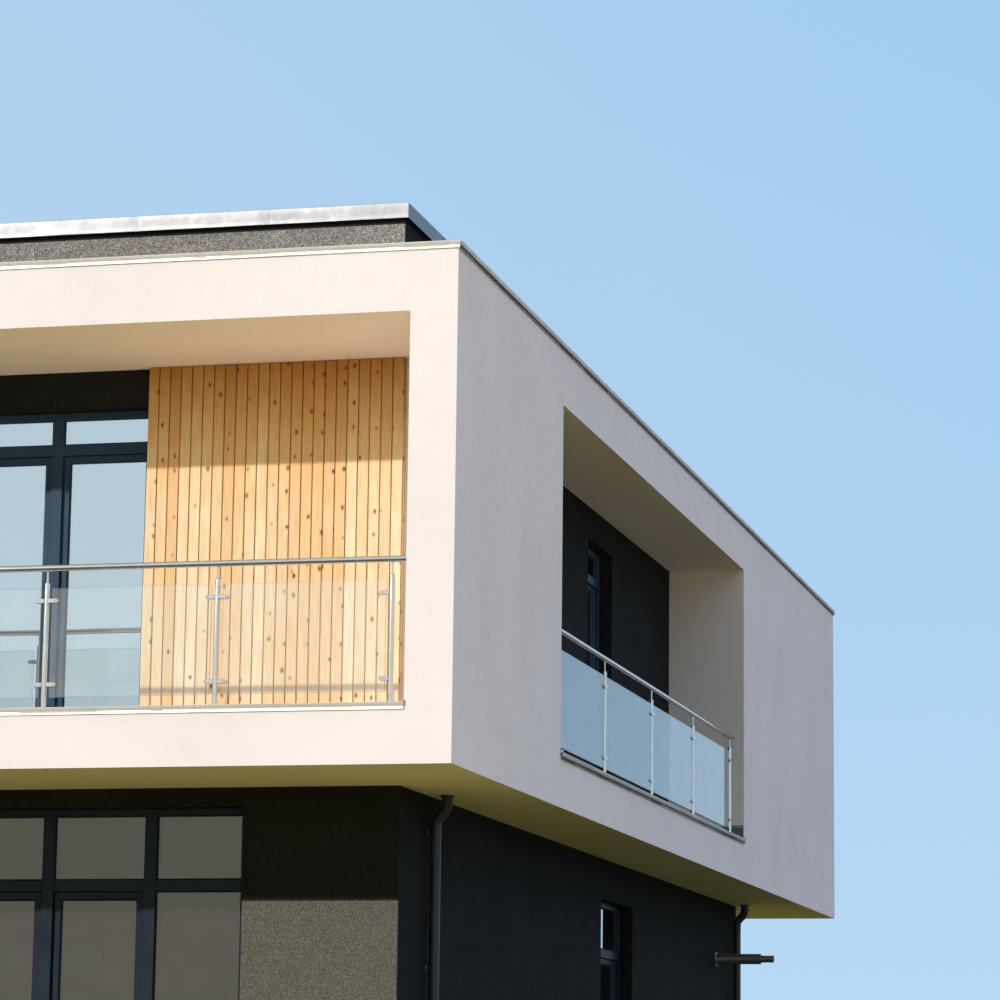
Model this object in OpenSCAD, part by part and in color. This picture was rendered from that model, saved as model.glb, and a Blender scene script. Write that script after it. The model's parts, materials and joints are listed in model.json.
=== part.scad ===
// Detached two-storey house: a dark rendered core carries a white box that
// wraps the upper storey, with open loggias, glass balustrades and a flat roof.
// Origin: middle of the plan, on the ground. +X right, +Y to the back, +Z up.

/* [White upper box] */
// Width of the white box over its render
box_w = 11050; // [9500:50:13000]
// Depth of the white box over its render
box_d = 17950; // [16000:50:20000]
// Thickness of the white outer walls
box_wall = 340; // [260:10:420]

/* [Dark core] */
// Distance from the front of the box back to the core
core_front = 1490; // [1200:10:1800]
// Distance from each side of the box in to the core
core_side = 770; // [650:5:1000]
// Distance from the back of the box in to the core
core_back = 2310; // [1800:10:2800]
// Thickness of the core walls
core_wall = 300; // [240:10:360]

/* [Storeys] */
// Height of the ground slab above the ground
ground_slab_t = 350; // [250:10:450]
// Clear height of the ground floor
ground_clear = 3050; // [2900:10:3300]
// Thickness of the upper floor slab
floor_slab_t = 300; // [250:10:350]
// Clear height of the upper floor and the loggias
upper_clear = 2860; // [2750:10:3050]
// Thickness of the roof slab
roof_slab_t = 290; // [220:10:360]

/* [Flat roof] */
// Height of the upstand round the roof edge
upstand_h = 190; // [120:10:250]
// Width of the upstand round the roof edge
upstand_w = 200; // [160:10:260]
// Thickness of the roof build-up between upstand and parapet
eaves_fill_t = 70; // [40:5:90]
// Thickness of the insulated roof inside the parapet
roof_fill_t = 220; // [120:10:300]
// Distance from the core face in to the parapet face
parapet_inset = 50; // [0:5:120]
// Thickness of the parapet wall
parapet_wall = 250; // [200:10:320]
// Height of the parapet wall above the roof slab
parapet_h = 880; // [700:5:1100]

/* [Copings] */
// Overhang of the parapet coping past the wall
cap_reach = 40; // [25:5:60]
// Depth of the parapet coping's fascia
cap_fascia = 125; // [90:5:160]
// Thickness of the top of the parapet coping
cap_t = 35; // [25:1:45]
// Overhang of the roof edge and sill copings at their top
trim_reach = 26; // [22:1:40]
// Overhang of these copings at their foot
trim_foot = 14; // [10:1:18]
// Height of the upper, leaning band of these copings
trim_step = 24; // [16:1:32]
// Height of the lower, upright band of these copings
trim_drop = 22; // [14:1:30]
// Sheet and packing thickness of all folded copings
sheet_t = 8; // [5:1:12]

/* [Loggias] */
// Distance from the front to the near end of the side loggias
side_log_start = 3340; // [2900:10:3800]
// Distance from the front to the far end of the side loggias
side_log_end = 11680; // [10800:10:12600]
// Thickness of the end walls of the side loggias
return_wall = 300; // [200:10:340]
// Height of the kerb under the balustrades
kerb_h = 120; // [80:5:160]
// Width of the kerb under the balustrades
kerb_w = 160; // [140:5:220]
// Height of the waterproofing turned up at the loggia walls
upstrip_h = 250; // [120:10:320]
// Thickness of the waterproofing turned up at the loggia walls
upstrip_t = 10; // [6:1:15]

/* [Timber cladding] */
// Lap of the boards over the frame of the unit beside them
clad_lap = 30; // [20:5:50]
// Distance the boards stand off the wall
clad_t = 70; // [45:5:90]
// Gap between the boards and the loggia floor
clad_foot = 60; // [30:5:90]

/* [Balustrades] */
// Height of the handrail's centre above the loggia floor
rail_z = 1130; // [1000:5:1200]
// Diameter of the handrail
rail_d = 45; // [38:1:54]
// Diameter of the posts
post_d = 38; // [32:1:48]
// Diameter of the posts' foot flanges
flange_d = 80; // [60:1:100]
// Thickness of the posts' foot flanges
flange_t = 10; // [6:1:14]
// Rounding of the posts' tops and flanges
post_round = 4; // [1:0.5:5]
// Diameter of the thin pin between post and handrail
spigot_d = 14; // [10:1:20]
// Length of the thin pin between post and handrail
spigot_h = 85; // [50:1:110]
// Distance of the handrail's centre behind the face of the white box
rail_setback = 105; // [72:1:115]
// Distance from the pier to the first front post
front_post_end = 125; // [60:5:160]
// Number of equal bays along the front
front_bays = 8; // [6:1:10]
// Distance from the near pier to the first side post
side_post_near = 100; // [60:10:250]
// Distance from the last side post to the far pier
side_post_far = 240; // [150:10:350]
// Gap between the side handrails' far ends and the piers
side_rail_gap = 65; // [0:5:150]
// Number of equal bays along each side
side_bays = 4; // [3:1:6]
// Thickness of the glass panels
pane_t = 12; // [8:1:16]
// Height of the glass panels
pane_h = 775; // [650:5:850]
// Height of the glass panels' lower edge above the loggia floor
pane_foot = 210; // [180:5:260]
// Gap between a post's axis and the glass
pane_gap = 42; // [34:1:60]
// Distance from a clamp's centre to the nearest end of the glass
clamp_end = 90; // [60:5:140]
// Height of each glass clamp
clamp_h = 30; // [24:1:40]
// Depth of each glass clamp over both jaws
clamp_t = 34; // [28:1:42]
// Length that each clamp grips the glass
clamp_grip = 44; // [30:1:60]

/* [Ground floor glazing] */
// Width of the wall between the two glazed units
ground_pier_w = 940; // [800:10:1300]
// Width of a glazed unit with four lights
ground_unit_w = 3110; // [3000:10:3300]
// Height of a glazed unit above the floor
ground_unit_h = 2910; // [2800:10:2950]
// Height of the transom's underside above the floor
ground_transom_z = 2304; // [2150:5:2380]

/* [Upper floor glazing] */
// Width of the wall between the two front units
upper_pier_w = 2350; // [2100:10:2700]
// Width of a front unit with two lights
upper_unit_w = 1620; // [1500:10:1800]
// Width of a loggia door on the sides
side_door_w = 1060; // [900:10:1200]
// Distance from the front of the box to a loggia door on the sides
side_door_edge = 7800; // [7000:5:8600]
// Height of the upper units above the floor slab
upper_unit_h = 2570; // [2450:10:2650]
// Height of the transom's underside above the floor slab
upper_transom_z = 2243; // [2100:1:2300]

/* [Windows] */
// Width of a casement window
window_w = 1430; // [1100:10:1600]
// Height of a casement window
window_h = 1812; // [1500:2:1900]
// Height of the ground floor window heads above the floor
window_head = 2686; // [2500:2:2850]
// Distance from the front of the box to the ground floor side window
window_edge = 8470; // [7600:10:9200]
// Height of the top light of a window over the transom
window_light_h = 380; // [280:5:420]
// Distance between the window columns at the back
back_pitch = 3300; // [2800:50:3600]
// Thickness of the metal window sills
sill_t = 12; // [8:1:20]
// Depth of the sills' drip lip below their underside
lip_h = 24; // [15:1:40]
// Thickness of the sills' drip lip
lip_t = 6; // [3:1:10]
// Overhang of the metal window sills past the wall
sill_reach = 24; // [14:1:26]

/* [Frames and leaves] */
// Distance from the wall face to the face of a frame
frame_setback = 120; // [80:5:160]
// Depth of the frames
frame_t = 75; // [60:1:90]
// Visible width of the frames' outer members
frame_w = 50; // [40:1:60]
// Width of the mullions
mullion_w = 90; // [76:1:110]
// Height of the transoms
transom_h = 82; // [60:1:100]
// Distance between the mullions of a four light unit
mullion_pitch = 800; // [760:2:860]
// Thickness of the leaves and sashes
leaf_t = 60; // [50:1:70]
// Width of the stiles and rails of a leaf
stile_w = 52; // [48:1:75]
// Height of the bottom rail of a door leaf
kick_h = 84; // [60:2:120]
// Distance a leaf's face lies behind the face of its frame
leaf_setback = 25; // [18:1:30]
// Running gap round a door leaf that opens
leaf_gap = 6; // [5.5:0.5:9]
// Thickness of the insulating glass
glass_t = 24; // [20:1:36]
// Width of the hinge plates
hinge_w = 36; // [28:1:50]
// Distance of the outer hinges from the ends of a leaf
hinge_end = 220; // [150:10:300]
// Distance from a leaf's inner face to the hinge axis
hinge_off = 12; // [10:0.5:16]
// Radius of the hinge knuckles
knuckle_r = 9; // [7:0.5:12]
// Height of each half of a hinge
knuckle_h = 60; // [45:5:80]
// Running gap between the halves of a hinge
knuckle_gap = 0.3; // [0.2:0.1:0.5]
// Height of the door handle above the floor
handle_z = 1050; // [950:10:1150]
// Length of the handle's lever
lever_len = 125; // [100:5:150]
// Height of the handle's lever
lever_h = 18; // [14:1:24]
// Thickness of the handle's lever
lever_t = 14; // [8:1:18]
// Radius of the handle's neck
neck_r = 9; // [6:1:12]
// Length of the handle's neck
neck_len = 55; // [45:1:65]
// Width of the handle's plate
plate_w = 28; // [22:1:36]
// Height of the handle's plate
plate_h = 140; // [100:5:240]
// Thickness of the handle's plate
plate_t = 9; // [5:1:12]

/* [Pipes] */
// Outer radius of the downpipes
pipe_r = 40; // [36:1:52]
// Distance from the wall to a downpipe's axis
pipe_off = 65; // [58:1:100]
// Distance from the wall to the outlet in the soffit
outlet_off = 150; // [120:5:230]
// Radius of the bends of the swan neck
bend_r = 100; // [80:5:140]
// Angle of the bends of the swan neck
bend_a = 45; // [30:1:60]
// Straight length of pipe under the soffit
neck_drop = 60; // [40:5:120]
// Wall thickness of the pipe sockets
socket_t = 4; // [2:1:8]
// Length of the pipe sockets
socket_h = 30; // [20:2:34]
// Width of the cover ring at the outlet past the pipe
rose_w = 12; // [6:1:20]
// Height of the cover ring at the outlet in the soffit
rose_h = 16; // [10:1:25]
// Distance from the front of the box to the front downpipes
front_pipe_y = 2285; // [1900:5:2700]
// Distance from the back of the core to the back downpipes
back_pipe_end = 300; // [150:10:600]
// Distance of the highest pipe brackets below the soffit
bracket_top = 290; // [270:10:500]
// Least distance of the lowest pipe brackets above the ground
bracket_foot = 300; // [150:10:500]
// Thickness of the pipe brackets' rings
bracket_t = 6; // [3:1:10]
// Height of the pipe brackets
bracket_h = 36; // [25:1:50]
// Distance between the pipe brackets
bracket_pitch = 1000; // [800:50:1200]
// Gap between a downpipe's foot and the ground
pipe_foot = 40; // [20:5:100]
// Distance from the back of the core to the boiler flue
flue_end = 1260; // [700:10:1800]
// Distance of the boiler flue's axis below the soffit
flue_drop = 640; // [450:10:900]
// Radius of the flue's outer pipe
flue_r = 55; // [45:1:70]
// Length of the flue's outer pipe
flue_len = 490; // [300:10:600]
// Length of the flue's inner pipe past the outer one
flue_tip = 140; // [80:10:200]
// Radius of the flue's inner pipe
flue_tip_r = 38; // [28:1:42]
// Width of the flue's wall plate past its outer pipe
flue_plate_w = 25; // [15:1:40]
// Thickness of the flue's wall plate
flue_plate_t = 12; // [4:1:20]

/* [Hidden] */

render_white = "#F4EEE3";
render_dark = "#33363A";
larch = "#D8A066";
frame_blue = "#34434F";
zinc = "#B9BEC1";
cream_metal = "#EFE8DA";
steel = "#C9CCCE";
glass_blue = [0.62, 0.76, 0.84, 0.45];
concrete = "#A7A5A0";
membrane = "#4A4B4D";

eps = 0.01;
small_fn = 24;
round_fn = 48;
soffit_z = ground_slab_t + ground_clear;
floor_z = soffit_z + floor_slab_t;
head_z = floor_z + upper_clear;
roof_z = head_z + roof_slab_t;
edge_z = roof_z + upstand_h;
core_w = box_w - 2 * core_side;
core_y0 = -box_d / 2 + core_front;
core_y1 = box_d / 2 - core_back;
parapet_w = core_w - 2 * parapet_inset;
parapet_y0 = core_y0 + parapet_inset;
parapet_y1 = core_y1 - parapet_inset;
loggia_w = box_w - 2 * box_wall;
side_y0 = -box_d / 2 + side_log_start;
side_y1 = -box_d / 2 + side_log_end;
kerb_z = floor_z + kerb_h;
sill_z = kerb_z + sheet_t;
ground_unit_x = (ground_pier_w + ground_unit_w) / 2;
upper_unit_x = (upper_pier_w + upper_unit_w) / 2;
clad_w = core_w / 2 - upper_unit_x - upper_unit_w / 2 + clad_lap;
ground_unit_y = core_y0 + frame_setback;
light_w = mullion_pitch - mullion_w;
side_light_w = (ground_unit_w - mullion_w) / 2 - frame_w - mullion_pitch;
light_bays = [[frame_w - ground_unit_w / 2, side_light_w],
    [mullion_w / 2 - mullion_pitch, light_w], [mullion_w / 2, light_w],
    [mullion_w / 2 + mullion_pitch, side_light_w]];
ground_leaf_w = light_w - 2 * leaf_gap;
ground_leaf_z0 = ground_slab_t + frame_w + leaf_gap;
ground_leaf_h = ground_transom_z - frame_w - 2 * leaf_gap;
upper_leaf_w = (upper_unit_w - 2 * frame_w - mullion_w) / 2;
upper_leaf_h = upper_transom_z - frame_w;
side_leaf_w = side_door_w - 2 * frame_w;
window_transom_z = window_h - frame_w - window_light_h - transom_h;
leaf_back = leaf_setback + leaf_t;
hinge_levels = [ground_leaf_z0 + hinge_end, ground_leaf_z0 + ground_leaf_h / 2,
    ground_leaf_z0 + ground_leaf_h - hinge_end - 2 * knuckle_h];
hinge_y = ground_unit_y + leaf_back + hinge_off;
rail_y = -box_d / 2 + rail_setback;
rail_x = box_w / 2 - rail_setback;
front_pitch = (loggia_w - 2 * front_post_end) / front_bays;
front_post_x = [for (i = [0:front_bays]) -loggia_w / 2 + front_post_end + i * front_pitch];
side_pitch = (side_log_end - side_log_start - side_post_near - side_post_far) / side_bays;
side_post_y = [for (i = [0:side_bays]) side_y0 + side_post_near + i * side_pitch];
pipe_x = core_w / 2 + pipe_off;
outlet_x = core_w / 2 + outlet_off;
window_z = ground_slab_t + window_head - window_h;
upper_window_z = floor_z + upper_unit_h - window_h;
back_window_x = [-back_pitch, 0, back_pitch];

// Places its children on the right and, mirrored, on the left.
module both_sides() {
    children();
    mirror([1, 0, 0]) children();
}

// A box given by its lowest and highest corners.
module block(low, high) {
    translate(low) cube([high[0] - low[0], high[1] - low[1], high[2] - low[2]]);
}

// A profile of [outward, up] points run round the rectangle w by d, with mitred corners.
module mitred_ring(w, d, profile, reach_in, reach_out, height) {
    for (a = [0:90:270]) {
        along = a % 180 == 0 ? w : d;
        out = a % 180 == 0 ? d / 2 : w / 2;
        rotate(a) intersection() {
            translate([-along / 2 - reach_out, -out, 0]) rotate([90, 0, 90])
                linear_extrude(along + 2 * reach_out) polygon([for (p = profile) [-p[0], p[1]]]);
            translate([0, 0, -height]) linear_extrude(2 * height) polygon([
                [-along / 2 - reach_out, -out - reach_out], [along / 2 + reach_out, -out - reach_out],
                [along / 2 - reach_in, -out + reach_in], [-along / 2 + reach_in, -out + reach_in]]);
        }
    }
}

// Folded profile of the cream copings on a wall of width depth: a band that leans in, and
// an upright one under it.
function trim_profile(depth) = [
    [-depth, 0], [0, 0], [0, -trim_step - trim_drop], [trim_foot, -trim_step - trim_drop],
    [trim_foot, -trim_step], [trim_reach, sheet_t], [-depth, sheet_t]];

// Rectangular frame in the XZ plane with its lower left front corner at the origin.
module frame_ring(w, h, member, t, foot) {
    difference() {
        cube([w, t, h]);
        translate([member, -eps, foot]) cube([w - 2 * member, t + 2 * eps, h - member - foot]);
    }
}

// Places its children in a wall that faces the way of turn: 0 front, 90 right, 180 back.
module facing(x, y, turn) {
    translate([x, y, 0]) rotate(turn) children();
}

module ground_floor_slab() {
    color(concrete) block([-core_w / 2 + core_wall, core_y0 + core_wall, 0],
        [core_w / 2 - core_wall, core_y1 - core_wall, ground_slab_t]);
}

module ground_front_piece(x0, x1) {
    color(render_dark) block([x0, core_y0, 0], [x1, core_y0 + core_wall, soffit_z]);
}

module ground_front_wall_right() {
    ground_front_piece(ground_unit_x + ground_unit_w / 2, core_w / 2);
}

module ground_front_wall_middle() {
    ground_front_piece(-ground_unit_x + ground_unit_w / 2, ground_unit_x - ground_unit_w / 2);
}

module ground_front_wall_left() {
    ground_front_piece(-core_w / 2, -ground_unit_x - ground_unit_w / 2);
}

// Lintels over the glazed units, and the wall foot under their thresholds.
module ground_unit_surrounds() {
    color(render_dark) both_sides() {
        block([ground_unit_x - ground_unit_w / 2, core_y0, ground_slab_t + ground_unit_h],
            [ground_unit_x + ground_unit_w / 2, core_y0 + core_wall, soffit_z]);
        block([ground_unit_x - ground_unit_w / 2, core_y0, 0],
            [ground_unit_x + ground_unit_w / 2, core_y0 + core_wall, ground_slab_t]);
    }
}

module ground_side_wall() {
    difference() {
        block([core_w / 2 - core_wall, core_y0 + core_wall, 0],
            [core_w / 2, core_y1 - core_wall, soffit_z]);
        block([core_w / 2 - core_wall - eps, -box_d / 2 + window_edge, window_z],
            [core_w / 2 + eps, -box_d / 2 + window_edge + window_w, window_z + window_h]);
    }
}

module ground_right_wall() {
    color(render_dark) ground_side_wall();
}

module ground_left_wall() {
    color(render_dark) mirror([1, 0, 0]) ground_side_wall();
}

module ground_back_wall() {
    color(render_dark) difference() {
        block([-core_w / 2, core_y1 - core_wall, 0], [core_w / 2, core_y1, soffit_z]);
        for (x = back_window_x)
            block([x - window_w / 2, core_y1 - core_wall - eps, window_z],
                [x + window_w / 2, core_y1 + eps, window_z + window_h]);
    }
}

module upper_floor_slab() {
    color(render_white) block([-box_w / 2, -box_d / 2, soffit_z], [box_w / 2, box_d / 2, floor_z]);
}

// The white side walls before and behind a side loggia.
module box_side_walls() {
    block([loggia_w / 2, -box_d / 2, floor_z], [box_w / 2, side_y0, head_z]);
    block([loggia_w / 2, side_y1, floor_z], [box_w / 2, box_d / 2 - box_wall, head_z]);
}

module box_right_walls() {
    color(render_white) box_side_walls();
}

module box_left_walls() {
    color(render_white) mirror([1, 0, 0]) box_side_walls();
}

module box_back_wall() {
    color(render_white) difference() {
        block([-box_w / 2, box_d / 2 - box_wall, floor_z], [box_w / 2, box_d / 2, head_z]);
        for (x = back_window_x)
            block([x - window_w / 2, box_d / 2 - box_wall - eps, upper_window_z],
                [x + window_w / 2, box_d / 2 + eps, upper_window_z + window_h]);
    }
}

module loggia_corner_walls() {
    color(render_white) both_sides()
        block([core_w / 2, core_y0, floor_z], [loggia_w / 2, core_y0 + core_wall, head_z]);
}

module loggia_end_walls() {
    color(render_white) both_sides() {
        block([core_w / 2, side_y0 - return_wall, floor_z], [loggia_w / 2, side_y0, head_z]);
        block([core_w / 2, side_y1, floor_z], [loggia_w / 2, side_y1 + return_wall, head_z]);
    }
}

module front_loggia_wall() {
    color(render_dark) difference() {
        block([-core_w / 2, core_y0, floor_z], [core_w / 2, core_y0 + core_wall, head_z]);
        both_sides() block([upper_unit_x - upper_unit_w / 2, core_y0 - eps, floor_z - eps],
            [upper_unit_x + upper_unit_w / 2, core_y0 + core_wall + eps, floor_z + upper_unit_h]);
    }
}

module side_loggia_wall() {
    difference() {
        block([core_w / 2 - core_wall, side_y0 - return_wall, floor_z],
            [core_w / 2, side_y1 + return_wall, head_z]);
        block([core_w / 2 - core_wall - eps, -box_d / 2 + side_door_edge, floor_z - eps],
            [core_w / 2 + eps, -box_d / 2 + side_door_edge + side_door_w, floor_z + upper_unit_h]);
    }
}

module right_loggia_wall() {
    color(render_dark) side_loggia_wall();
}

module left_loggia_wall() {
    color(render_dark) mirror([1, 0, 0]) side_loggia_wall();
}

module loggia_kerbs() {
    color(render_white) {
        block([-loggia_w / 2, -box_d / 2, floor_z], [loggia_w / 2, -box_d / 2 + kerb_w, kerb_z]);
        both_sides() block([box_w / 2 - kerb_w, side_y0, floor_z], [box_w / 2, side_y1, kerb_z]);
    }
}

// Waterproofing turned up at the foot of the loggias' end walls and corners.
module loggia_upstrips() {
    color(membrane) both_sides() {
        block([core_w / 2, side_y1 - upstrip_t, floor_z],
            [box_w / 2 - kerb_w, side_y1, floor_z + upstrip_h]);
        block([core_w / 2, side_y0, floor_z],
            [box_w / 2 - kerb_w, side_y0 + upstrip_t, floor_z + upstrip_h]);
        block([core_w / 2, core_y0 - upstrip_t, floor_z],
            [loggia_w / 2, core_y0, floor_z + upstrip_h]);
    }
}

module timber_cladding() {
    color(larch) both_sides()
        block([core_w / 2 - clad_w, core_y0 - clad_t, floor_z + clad_foot],
            [core_w / 2, core_y0, head_z]);
}

module roof_slab() {
    color(render_white) block([-box_w / 2, -box_d / 2, head_z], [box_w / 2, box_d / 2, roof_z]);
}

module roof_upstands_front_back() {
    color(render_white) for (s = [-1, 1])
        translate([0, s * (box_d - upstand_w) / 2, roof_z + upstand_h / 2])
            cube([box_w, upstand_w, upstand_h], center = true);
}

module roof_upstands_sides() {
    color(render_white) for (s = [-1, 1])
        translate([s * (box_w - upstand_w) / 2, 0, roof_z + upstand_h / 2])
            cube([upstand_w, box_d - 2 * upstand_w, upstand_h], center = true);
}

module roof_edge_coping() {
    color(cream_metal) translate([0, 0, edge_z])
        mitred_ring(box_w, box_d, trim_profile(upstand_w), upstand_w, trim_reach,
            trim_step + trim_drop + sheet_t);
}

module parapet_front_back() {
    color(render_dark) {
        block([-parapet_w / 2, parapet_y0, roof_z],
            [parapet_w / 2, parapet_y0 + parapet_wall, roof_z + parapet_h]);
        block([-parapet_w / 2, parapet_y1 - parapet_wall, roof_z],
            [parapet_w / 2, parapet_y1, roof_z + parapet_h]);
    }
}

module parapet_sides() {
    color(render_dark) both_sides()
        block([parapet_w / 2 - parapet_wall, parapet_y0 + parapet_wall, roof_z],
            [parapet_w / 2, parapet_y1 - parapet_wall, roof_z + parapet_h]);
}

// Folded metal cap over the parapet, with a fascia outside and a short leg inside.
module parapet_coping() {
    inner = parapet_wall + cap_reach;
    leg = cap_fascia / 2;
    color(zinc) translate([0, (parapet_y0 + parapet_y1) / 2, roof_z + parapet_h])
        mitred_ring(parapet_w, parapet_y1 - parapet_y0, [
            [-inner, cap_t - sheet_t], [cap_reach, cap_t], [cap_reach, cap_t - cap_fascia],
            [cap_reach - sheet_t, cap_t - cap_fascia], [cap_reach - sheet_t, 0],
            [sheet_t - inner, 0], [sheet_t - inner, cap_t - leg], [-inner, cap_t - leg]],
            inner, cap_reach, cap_fascia);
}

// Roof covering inside the parapet, and the lower one between parapet and upstand.
module roof_covering() {
    color(membrane) {
        block([-parapet_w / 2 + parapet_wall, parapet_y0 + parapet_wall, roof_z],
            [parapet_w / 2 - parapet_wall, parapet_y1 - parapet_wall, roof_z + roof_fill_t]);
        difference() {
            block([-box_w / 2 + upstand_w, -box_d / 2 + upstand_w, roof_z],
                [box_w / 2 - upstand_w, box_d / 2 - upstand_w, roof_z + eaves_fill_t]);
            block([-parapet_w / 2, parapet_y0, roof_z - eps],
                [parapet_w / 2, parapet_y1, roof_z + eaves_fill_t + eps]);
        }
    }
}

// One straight coping on a kerb, along X from the origin, with its fold towards -Y.
module sill_run(length) {
    rotate([90, 0, 90]) linear_extrude(length)
        polygon([for (p = trim_profile(kerb_w)) [-p[0], p[1]]]);
}

module sill_copings() {
    color(cream_metal) {
        translate([-loggia_w / 2, -box_d / 2, kerb_z]) sill_run(loggia_w);
        both_sides() translate([box_w / 2, side_y0, kerb_z]) rotate(90) sill_run(side_y1 - side_y0);
    }
}

// Outline of a post from its axis outwards: flange, shaft, rounded top and thin pin.
function post_outline(shaft_h, total_h) = [
    [0, 0], [flange_d / 2, 0], [flange_d / 2, flange_t - post_round],
    [flange_d / 2 - post_round, flange_t], [post_d / 2, flange_t],
    for (a = [0:30:90]) [post_d / 2 - post_round * (1 - cos(a)),
        shaft_h - post_round * (1 - sin(a))],
    [spigot_d / 2, shaft_h], [spigot_d / 2, total_h], [0, total_h]];

// Post on its foot flange, with its pin up to the handrail and the jaws listed in sides.
module balustrade_post(sides) {
    total_h = floor_z + rail_z - rail_d / 2 - sill_z;
    pane_z = floor_z + pane_foot;
    translate([0, 0, sill_z]) rotate_extrude($fn = round_fn)
        polygon(post_outline(total_h - spigot_h, total_h));
    for (side = sides, z = [pane_z + clamp_end, pane_z + pane_h - clamp_end])
        clamp(side, z);
}

// Glass clamp on one side of a post: a jaw before and a jaw behind the glass.
module clamp(side, z) {
    reach = pane_gap + clamp_grip;
    difference() {
        translate([side > 0 ? 0 : -reach, -clamp_t / 2, z - clamp_h / 2])
            cube([reach, clamp_t, clamp_h]);
        translate([side > 0 ? pane_gap : -reach - eps, -pane_t / 2, z - clamp_h])
            cube([clamp_grip + eps, pane_t, 2 * clamp_h]);
    }
}

module front_posts() {
    color(steel) for (i = [0:front_bays])
        translate([front_post_x[i], rail_y, 0])
            balustrade_post([if (i > 0) -1, if (i < front_bays) 1]);
}

module front_handrail() {
    color(steel) translate([-loggia_w / 2, rail_y, floor_z + rail_z]) rotate([0, 90, 0])
        cylinder(d = rail_d, h = loggia_w, $fn = round_fn);
}

// Glass panel between two posts, along X from the first post's axis.
module glass_panel(pitch) {
    translate([pane_gap, -pane_t / 2, floor_z + pane_foot])
        cube([pitch - 2 * pane_gap, pane_t, pane_h]);
}

module front_glass_panels() {
    color(glass_blue) for (i = [0:front_bays - 1])
        translate([front_post_x[i], rail_y, 0]) glass_panel(front_pitch);
}

module side_posts() {
    color(steel) both_sides() for (i = [0:side_bays])
        translate([rail_x, side_post_y[i], 0]) rotate(90)
            balustrade_post([if (i > 0) -1, if (i < side_bays) 1]);
}

module side_handrails() {
    color(steel) both_sides() translate([rail_x, side_y0, floor_z + rail_z]) rotate([-90, 0, 0])
        cylinder(d = rail_d, h = side_y1 - side_y0 - side_rail_gap, $fn = round_fn);
}

module side_glass_panels() {
    color(glass_blue) both_sides() for (i = [0:side_bays - 1])
        translate([rail_x, side_post_y[i], 0]) rotate(90) glass_panel(side_pitch);
}

// Jambs and mullions of a four light unit, centred on X.
module ground_unit_uprights() {
    jamb_x = (ground_unit_w - frame_w) / 2;
    color(frame_blue) both_sides() translate([ground_unit_x, ground_unit_y, ground_slab_t]) {
        for (x = [-jamb_x, jamb_x]) translate([x - frame_w / 2, 0, 0])
            cube([frame_w, frame_t, ground_unit_h]);
        for (i = [-1:1]) translate([i * mullion_pitch - mullion_w / 2, 0, 0])
            cube([mullion_w, frame_t, ground_unit_h]);
    }
}

// Threshold, transom and head between the uprights of the four light units.
module ground_unit_rails() {
    color(frame_blue) both_sides() translate([ground_unit_x, ground_unit_y, ground_slab_t])
        for (light = light_bays, rail = [[0, frame_w], [ground_transom_z, transom_h],
            [ground_unit_h - frame_w, frame_w]])
            translate([light[0], 0, rail[0]]) cube([light[1], frame_t, rail[1]]);
}

// Frame halves of the door hinges, on the mullions that carry the opening leaves.
module door_hinges() {
    hinge_x = mullion_pitch - mullion_w / 2 - leaf_gap;
    seat = leaf_back + hinge_off;
    color(steel) for (side = [-1, 1], z = hinge_levels)
        translate([ground_unit_x + side * hinge_x, ground_unit_y, z]) {
            translate([0, seat, 0]) cylinder(r = knuckle_r, h = knuckle_h, $fn = small_fn);
            translate([side > 0 ? 0 : -hinge_w, frame_t, 0])
                cube([hinge_w, seat - frame_t, knuckle_h]);
        }
}

// Leaf with its lower left front corner at the origin.
module leaf(w, h) {
    frame_ring(w, h, stile_w, leaf_t, kick_h);
}

// Glass of a leaf with its lower left front corner at the origin.
module leaf_glass(w, h) {
    translate([stile_w, (leaf_t - glass_t) / 2, kick_h])
        cube([w - 2 * stile_w, glass_t, h - stile_w - kick_h]);
}

// The two leaves of the mirrored unit on the left, shut in their frame.
module ground_fixed_leaves() {
    color(frame_blue) for (x = [-mullion_pitch + mullion_w / 2, mullion_w / 2])
        translate([-ground_unit_x + x, ground_unit_y + leaf_setback, ground_slab_t + frame_w])
            leaf(light_w, ground_transom_z - frame_w);
}

// One pane of fixed glass in the frame's plane, from its lower left corner.
module fixed_pane(x, z, w, h) {
    translate([x, (frame_t - glass_t) / 2, z]) cube([w, glass_t, h]);
}

module ground_unit_glass() {
    light_z = ground_slab_t + ground_transom_z + transom_h;
    light_h = ground_unit_h - frame_w - ground_transom_z - transom_h;
    color(glass_blue) {
        both_sides() translate([ground_unit_x, ground_unit_y, 0]) {
            for (light = light_bays) fixed_pane(light[0], light_z, light[1], light_h);
            for (light = [light_bays[0], light_bays[3]])
                fixed_pane(light[0], ground_slab_t + frame_w, light[1],
                    ground_transom_z - frame_w);
        }
        for (x = [-mullion_pitch + mullion_w / 2, mullion_w / 2])
            translate([-ground_unit_x + x, ground_unit_y + leaf_setback, ground_slab_t + frame_w])
                leaf_glass(light_w, ground_transom_z - frame_w);
    }
}

// Places its children on the leaf next to the middle mullion: side -1 left, 1 right.
module at_leaf(side) {
    x = side > 0 ? mullion_w / 2 : mullion_w / 2 - mullion_pitch;
    translate([ground_unit_x + x + leaf_gap, ground_unit_y + leaf_setback, ground_leaf_z0])
        children();
}

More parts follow.
